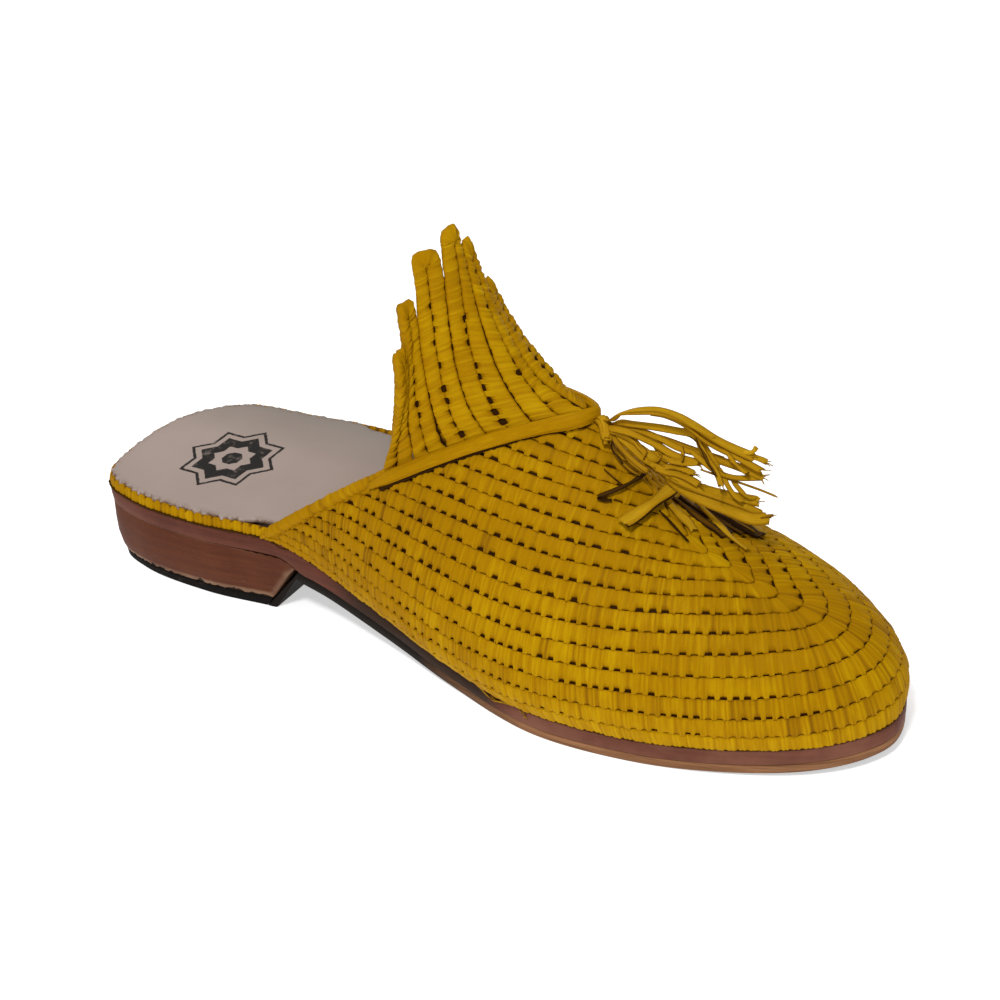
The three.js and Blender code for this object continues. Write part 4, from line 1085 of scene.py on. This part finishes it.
def ribbon(points, width, twist, thick=0.24, torn=1.2):
    """Rings of a flat ribbon through points, turned along its length, with a torn far end."""
    path = spline(points)(np.linspace(0, 1, max(int(4 * len(points)), 12)))
    run = unit(np.gradient(path, axis=0))
    side = unit(np.cross(run, (0.0, 0.0, 1.0)))
    over = np.cross(side, run)
    t = np.linspace(0, 1, len(path))[:, None]
    angle = twist[0] + (twist[1] - twist[0]) * t + 0.25 * np.sin(9 * t + twist[0] * 5)
    flat = side * np.cos(angle) + over * np.sin(angle)
    proud = over * np.cos(angle) - side * np.sin(angle)
    # five points over its upper face and five back under it; it starts narrower, and it is bowed
    across = np.linspace(-1, 1, 5)
    across = np.concatenate([across, across[::-1]])
    full = 1.35 * width * np.clip(0.65 + 2.2 * t, 0, 1)
    bow = 0.16 * width * (1 - across**2) + np.repeat([thick / 2, -thick / 2], 5)
    rings = path[:, None] + flat[:, None] * (across * full / 2)[..., None] + proud[:, None] * bow[:, None]
    ends = chance.uniform(-torn, torn * 0.3, 5)
    rings[-1] += np.outer(np.concatenate([ends, ends[::-1]]), run[-1])
    return rings


tassel = RaffiaWork()
# the knot: three turns of wide ribbon from under the band over the root
knot = [(175.6, 2.6, 74.4), (177.2, 1.6, 76.6), (179.2, 0.3, 77), (180.8, -1.2, 75.2), (181.4, -2.4, 72.6)]
for rise, width, tone in ((0.0, 2.6, 0.0), (-0.9, 2.0, -0.2), (0.7, 1.5, 0.1)):
    tassel.ribbon(ribbon(np.add(knot, (0, 0, rise)), width, (0.2, -0.4), 0.3), tone)
for lot in (FROM_KNOT, CROSSING, ON_VAMP_AND_SHADOW):
    for points, width, twist, tone in lot:
        if lot is FROM_KNOT:
            points = [TASSEL_ROOT + chance.normal(0, (0.4, 0.7, 0.8), 3), *points]
        line = spline(points)(np.linspace(0, 1, len(points) + 2))
        tassel.ribbon(ribbon(line, width, twist), tone + chance.normal(0, 0.12))
        if lot is ON_VAMP_AND_SHADOW:
            continue
        # a narrow strand beside it, split from the same leaf, often painted darker as painted shadow beside
        # the ribbon
        share = np.linspace(0, 1, len(line))[:, None]
        beside = line + chance.normal(0, 0.5, 3) * share + chance.normal(0, 0.18, line.shape) * share
        last = chance.integers(max(len(line) - 2, 3), len(line) + 1)
        strand = ribbon(beside[:last], width * chance.uniform(0.3, 0.6), (twist[0] + 0.3, twist[1] + 0.3))
        tassel.ribbon(strand, tone + chance.choice([-0.6, -0.25, 0.05]) + chance.normal(0, 0.06))
        # the torn end of a wide one has split into hairs
        way = unit(line[-1] - line[-2])
        for _ in range(3 if width > 1.0 else 0):
            hair = line[-1] - way * 1.5 + np.outer([0, 1, 2], way * chance.uniform(0.9, 1.6))
            hair = hair + np.outer([0, 0.35, 1], chance.normal(0, 0.8, 3))
            hair = ribbon(hair, chance.uniform(0.18, 0.4), (0, 0.5), 0.15, 0.3)
            tassel.ribbon(hair, tone + chance.normal(-0.1, 0.1))
tassel_raffia = raffia_material("raffia_ribbons", 1.8, 0.5, (0.68, 0.425, 0.018), (0.45, 0.235, 0.006), 0.42)
tassel.piece("tassel_ribbons", tassel_raffia, "tassel")

# Under the ball of the foot a few fibres of the lowest course have come loose and hang over the
# sole. For each: its places as the x along the shoe and the way down from the sole's top; width.
strays = RaffiaWork()
for places, width in [
    ([(156, -0.4), (158, 0.5), (160.5, 1.3), (163, 1.1), (165.5, 0.2), (167.5, -0.3)], 0.5),
    ([(157, -0.2), (159.5, 1.0), (161.5, 1.6), (164, 0.7)], 0.3),
    ([(160.5, 0.2), (162.5, 0.9), (164.5, 0.5), (166.5, -0.4)], 0.35),
    ([(171.5, -0.2), (172.6, 0.9), (174.3, 1.9)], 0.22),
    ([(172.7, -0.2), (173.3, 1.2), (172.8, 2.2)], 0.2),
]:
    line = [[*outline_at(share_at(x, -1), -0.45)[:2], float(top_at(x)) - down] for x, down in places]
    strays.ribbon(ribbon(line, width, (1.2, 1.5), 0.15, 0.3), chance.normal(-0.1, 0.1))
strays.piece("stray_fibres", tassel_raffia)

# ------------------------------------------------------------------ outsole
# A hard sheet under the forefoot and waist, black at the waist and bare tan at the front of the foot. Behind
# the waist it is bent down and nailed over the breast of the heel.
OUTSOLE_EDGE = 0.3
BREAST_SHEET = 3.4


def sheet_line(foot, top, surface):
    """One face of the sheet from the side: up the breast of the heel, then forward to the toe."""
    rise = np.linspace(0, 1, 24)[:-1]
    forward = top + (LENGTH - OUTSOLE_EDGE - top) * (1 - np.cos(np.linspace(0, math.pi, 170))) / 2
    places = np.concatenate([foot + (top - foot) * rise, forward])
    return np.stack([places, np.concatenate([surface(top) * rise, surface(forward)])], -1)


breast_top = float(breast_at(SEAT_UNDER)) - BREAST_SHEET
low_line = sheet_line(BREAST_FOOT, BREAST_FOOT + BREAST_LEAN, under_at)
high_line = sheet_line(BREAST_FOOT - BREAST_SHEET, breast_top, lambda x: midsole_under(x) - 0.06)
levels = []
for inset, share, lift, worn in [
    (0.9, 0, 0, 0.1), (0.45, 0, 0.12, 0.5), (OUTSOLE_EDGE, 0, 0.45, 0.9), (OUTSOLE_EDGE - 0.05, 0.5, 0, 1.0),
    (OUTSOLE_EDGE, 1, -0.4, 1.0), (0.55, 1, 0, 0.6),
]:
    x, z = (low_line + (high_line - low_line) * share + unit(high_line - low_line) * lift).T
    sides = outline_ring(inset, 900)
    x = np.minimum(x, sides[0][-1, 0])
    inner, outer = (np.stack([x, np.interp(x, side[:, 0], side[:, 1]), z], -1) for side in sides)
    # the sheet is open at the heel, so its lines run from the toe back to the breast
    levels.append((inner[::-1], outer[::-1], worn))
points, faces, wear = solid_of_rings(levels, open_front=True)

outsole_leather = new_material("outsole_sheet", {"Specular IOR Level": 0.05})
nodes = Nodes(outsole_leather.node_tree)
place = nodes.place()
clouds = nodes.noise(place, 40.0, 3.0, 0.6)
fine = nodes.noise(place, 900.0, 2.0, 0.6)
streaks = nodes.noise(place, 1.0, 2.0, 0.6, (60, 60, 1200))
forward = nodes.times(nodes.add("SeparateXYZ", {0: place}, "X"), 1 / 0.045, -0.25)
bare = nodes.times(nodes.times(clouds, 0.8, forward, clamp=True), nodes.tone(), clamp=True)
black = nodes.mix(streaks, (0.007, 0.005, 0.004), (0.016, 0.011, 0.008))
tan = nodes.mix(nodes.times(streaks, 2.0, -0.5, clamp=True), (0.17, 0.075, 0.033), (0.38, 0.185, 0.088))
relief = nodes.maths("ADD", fine, streaks)
nodes.finish(nodes.mix(bare, black, tan), nodes.times(fine, 0.3, 0.45), relief, 0.3, 0.2)
mesh_piece("outsole_sheet", points, faces, wear, outsole_leather, "outsole")

# ------------------------------------------------------------------ heel block and top lift
# The low heel is a block of stacked leather, pared to the sole's line and stained red-brown.
# Under it a black rubber lift is glued on; the glue and the knife have left a ragged black rim.
LIFT_THICK = 3.2
LIFT_WORN = 1.0
HEEL_EDGE = 0.2
HEEL_TAPER = 0.1
SEAT_OPEN = 0.95


def heel_solid(levels, low_at, high_at, seat_gap=0.0):
    """Solid of a heel piece that is cut off behind the turned-down outsole. A level is its inset,
    share of the height, lift and wear, and how ragged the knife has left its line."""
    made = []
    knife = np.stack([np.convolve(chance.normal(0, 0.55, 152), (0.2, 0.8, 0.2), "valid") for _ in range(2)])
    knife = knife.clip(-0.25, 1)
    knife[:, [0, -1]] = 0
    for inset, share, lift, worn, ragged in levels:
        front = BREAST_FOOT
        for _ in range(30):
            z = low_at(front) + (high_at(front) - low_at(front)) * share + lift
            front = float(breast_at(z)) - BREAST_SHEET - 0.05 - 0.3 * max(inset, 0)
        taper = HEEL_TAPER * (1 - z / float(top_at(0)))

        def edge(x):
            return HEEL_EDGE + taper + (inset if inset > 0 else inset * (1 - ease((x - 45) / 28)))

        sides = outline_ring(edge, 150, last=front)
        for side, cuts in zip(sides, knife):
            x = side[:, 0]
            side[:, 2] = low_at(x) + (high_at(x) - low_at(x)) * share + lift + ragged * cuts
            if share == 1:
                # the seat joint has opened a little towards the breast
                side[:, 2] -= seat_gap * ease((x - 52) / 20) * (0.85 + 0.25 * np.sin(1.9 * x))
        made.append((*sides, worn))
    return solid_of_rings(made, open_front=True)


def lift_top(x):
    """Top of the lift: pared thinner towards the back of the heel."""
    return LIFT_THICK - LIFT_WORN * (1 - ease(np.asarray(x, float) / 48))


# the pale rim at the top, under the midsole, is rubbed wear and also a painted highlight along that edge
points, faces, wear = heel_solid(
    [(0.4, 0, 0, -1, 0), (0.1, 0, 0.12, -1, 0), (-0.12, 0, 0.42, -1, 1), (-0.18, 0, 0.56, 1, 1),
     (-0.42, 0, 1.5, 0.75, 0.3), (-0.72, 0, 2.3, 0, 0), (-1.15, 0.38, 0, 0, 0), (-0.9, 0.65, 0, 0, 0),
     (-0.27, 1, -0.45, 0, 0), (-0.1, 1, -0.12, 0.3, 0), (0.2, 1, 0, 0, 0)],
    lambda x: lift_top(x) + 0.04, lambda x: midsole_under(x) - 0.04, SEAT_OPEN)
# the edge beside the turned-down sheet is rubbed bare too
to_breast = breast_at(points[:, 2]) - BREAST_SHEET - points[:, 0]
bare = (1 - ease((to_breast - 0.5) / 2.2)) * (points[:, 2] < SEAT_UNDER - 3)
wear = np.where(wear < 0, wear, np.maximum(wear, bare))
heel_leather = leather_material(
    "heel_leather", (0.134, 0.041, 0.0185), (0.086, 0.0245, 0.012), (0.3, 0.18, 0.11), 0.35)
mesh_piece("heel_stack", points, faces, wear, heel_leather, "heel_block")

points, faces, wear = heel_solid(
    [(0.12, 0, 0, 0, 0), (0, 0, 0.12, 0, 0), (0, 0, 0.4, 0, 0), (0, 0.6, 0, 0, 0), (-0.05, 1, -0.3, 0, 0),
     (0.3, 1, 0, 0, 0)],
    lambda x: 0 * x, lift_top)
lift_rubber = new_material("lift_rubber", {"Specular IOR Level": 0.05})
nodes = Nodes(lift_rubber.node_tree)
place = nodes.place()
fine = nodes.noise(place, 1300.0, 2.0, 0.6)
dusty = nodes.times(nodes.noise(place, 160.0, 4.0, 0.7), 5.0, -2.9, clamp=True)
colour = nodes.mix(nodes.times(dusty, 0.5), (0.008, 0.0065, 0.0055), (0.07, 0.05, 0.035))
nodes.finish(colour, nodes.times(fine, 0.3, 0.55), fine, 0.35, 0.2)
mesh_piece("top_lift_rubber", points, faces, wear, lift_rubber, "top_lift")

# ------------------------------------------------------------------ insole sock
# A warm grey leather sock covers the footbed. At the heel its edge is pinched by the stitches of
# the rand into small scallops. At the heel seat is an eight-pointed star, stamped in dark ink.
INSOLE_THICK = 3.7
INSOLE_LIP = 1.4
LIP_INSET = 2.0
CORE_INSET = 4.3
FRONT_INSET = 3.4
SCALLOP = 3.4
STAR = (37.0, 0.2, 0)
STAR_SIZE = 12
SOCK_POINTS = 1700
SOCK_DEEP = (0.36, 0.275, 0.235)
SOCK_LIGHT = (0.44, 0.35, 0.305)
SOCK_SHADE = (0.212, 0.197, 0.17)
SOCK_WORN = (0.13, 0.07, 0.035)
INK = (0.016, 0.013, 0.011)

shares = np.linspace(0, 1, SOCK_POINTS, endpoint=False)
x = outline_at(shares)[:, 0]
sole_length = walked_along(outline_at(np.linspace(0, 1, 4001)))[-1]
lip = LIP_INSET + (FRONT_INSET - LIP_INSET) * ease((x - (UPPER_START_X - 9)) / 7)
core = CORE_INSET + (FRONT_INSET + 0.2 - CORE_INSET) * ease((x - (UPPER_START_X - 4)) / 12)
scallops = abs(np.sin(math.pi * shares * sole_length / SCALLOP)) ** 0.7
scallops = scallops * (0.75 + 0.5 * np.sin(shares * 210) ** 2) * (1 - ease((x - 60) / 8))
notched = lip + 0.25 - 0.95 * scallops
lip_under = INSOLE_THICK - INSOLE_LIP
levels = []
# levels from below: inset of the edge, height over the midsole, wear
for inset, height, worn in [
    (core + 0.4, 0.0, 0), (core, 0.3, 0), (core, lip_under - 0.2, 0), (core - 0.2, lip_under, 0),
    (notched + 0.15, lip_under, 0.9), (notched - 0.05, INSOLE_THICK - INSOLE_LIP * 0.75, 1.0),
    (notched, INSOLE_THICK - 0.45, 0.9), (notched + 0.3, INSOLE_THICK - 0.1, 0.6),
    (notched + 0.8, INSOLE_THICK, 0.25), (lip + 1.9, INSOLE_THICK, 0), (lip + 4.5, INSOLE_THICK - 0.15, 0),
]:
    ring = outline_at(shares, inset)
    ring[:, 2] = top_at(ring[:, 0]) + SEAM_GAP + height
    half = SOCK_POINTS // 2
    levels.append((ring[: half + 1], np.concatenate([ring[:1], ring[: half - 1 : -1]]), worn))
points, faces, wear = solid_of_rings(levels, columns=14)

sock_leather = new_material("sock_leather", {"Specular IOR Level": 0.25})
nodes = Nodes(sock_leather.node_tree)
place = nodes.place()
clouds = nodes.times(nodes.noise(place, 22.0, 3.0, 0.55), 1.8, -0.4, clamp=True)
pores = nodes.noise(place, 1100.0, 2.0, 0.6)
creases = nodes.noise(place, 1.0, 3.0, 0.6, (60, 260, 60))
flecks = nodes.times(nodes.noise(place, 420.0, 3.0, 0.7), 6.0, -2.6, clamp=True)
# painted shade: the sock turns greyer towards its outer side
shaded_side = nodes.times(nodes.add("SeparateXYZ", {0: place}, "Y"), 1 / 0.032, -0.3, clamp=True)
colour = nodes.mix(clouds, SOCK_DEEP, SOCK_LIGHT)
colour = nodes.mix(nodes.times(shaded_side, 0.85), colour, SOCK_SHADE)
colour = nodes.mix(nodes.times(nodes.tone(), flecks), colour, SOCK_WORN)

# the star: two squares laid one over the other, as a solid middle and a fine outer line
from_star = nodes.add("VectorMath", {0: place, 1: in_place(STAR)}, operation="SUBTRACT")
along, over = (nodes.times(nodes.add("SeparateXYZ", {0: from_star}, axis), 1 / MM) for axis in "XY")
east, north = nodes.maths("ABSOLUTE", along), nodes.maths("ABSOLUTE", over)
square = nodes.maths("MAXIMUM", east, north)
diamond = nodes.times(nodes.maths("ADD", east, north), math.sqrt(0.5))
star_out = nodes.maths("MINIMUM", square, diamond)
star_in = nodes.maths("MAXIMUM", square, diamond)
uneven = nodes.times(nodes.noise(place, 700.0, 2.0), 0.5, -0.25)


def inked(distance, low, high):
    """Ink between two distances in millimetres, with a slightly uneven edge."""
    wavy = nodes.maths("ADD", distance, uneven)
    inside = nodes.times(wavy, 5.0, -5.0 * low, clamp=True)
    return nodes.times(inside, nodes.times(wavy, -5.0, 5.0 * high, clamp=True))


ink = nodes.maths("MAXIMUM", inked(star_out, 5.2, STAR_SIZE - 2.8), inked(star_in, -1, 3.3))
ink = nodes.maths("MAXIMUM", ink, inked(star_out, STAR_SIZE - 1.2, STAR_SIZE))
ink = nodes.times(ink, nodes.times(nodes.noise(place, 260.0, 3.0, 0.7), -2.6, 2.5, clamp=True))
ink = nodes.times(ink, nodes.maths("LESS_THAN", star_out, STAR_SIZE + 1.0))
colour = nodes.mix(ink, colour, INK)
nodes.finish(colour, 0.6, nodes.times(creases, 1.2, nodes.times(pores, 0.5)), 0.2, 0.3)
mesh_piece("insole_sock", points, faces, wear, sock_leather, "insole")

# ------------------------------------------------------------------ heel rand
# A narrow strip of the same crochet is sewn round the heel between sole and sock, from one corner
# of the vamp to the other. Its stitches stand upright and their tops hold the sock's edge.
RAND_STITCH = 3.4

shares = np.linspace(outer_corner - 0.003, 1 + inner_corner + 0.004, 900)
lower, upper = outline_at(shares, 0.7), outline_at(shares, 1.7)
lower[:, 2] = top_at(lower[:, 0]) + 0.12
upper[:, 2] = top_at(upper[:, 0]) + INSOLE_THICK - 0.3
rand = RaffiaWork()
rand.course(lower, upper, lambda share: 0 * share, RAND_STITCH, 1.5, sink=1.3)
# between two stitches the top is painted near black, and the columns beside it darker, as painted shadow
# between the wraps; the crest of every stitch is painted a little paler as painted highlight
rand_tone = rand.tone[0].reshape(-1, len(OUTER_SECTION) + len(INNER_SECTION)).copy()
rand_tone[0::6, 4:7] = -0.8
rand_tone[1::6, 5:7] = -0.45
rand_tone[5::6, 5:7] = -0.45
rand_tone[:, 2:4] += 0.05
rand.tone[0] = rand_tone.ravel()
rand.seam_cord(np.linspace(outer_corner, 1 + inner_corner, 300))
rand.piece("rand_stitches", stitch_raffia, "heel_rand")
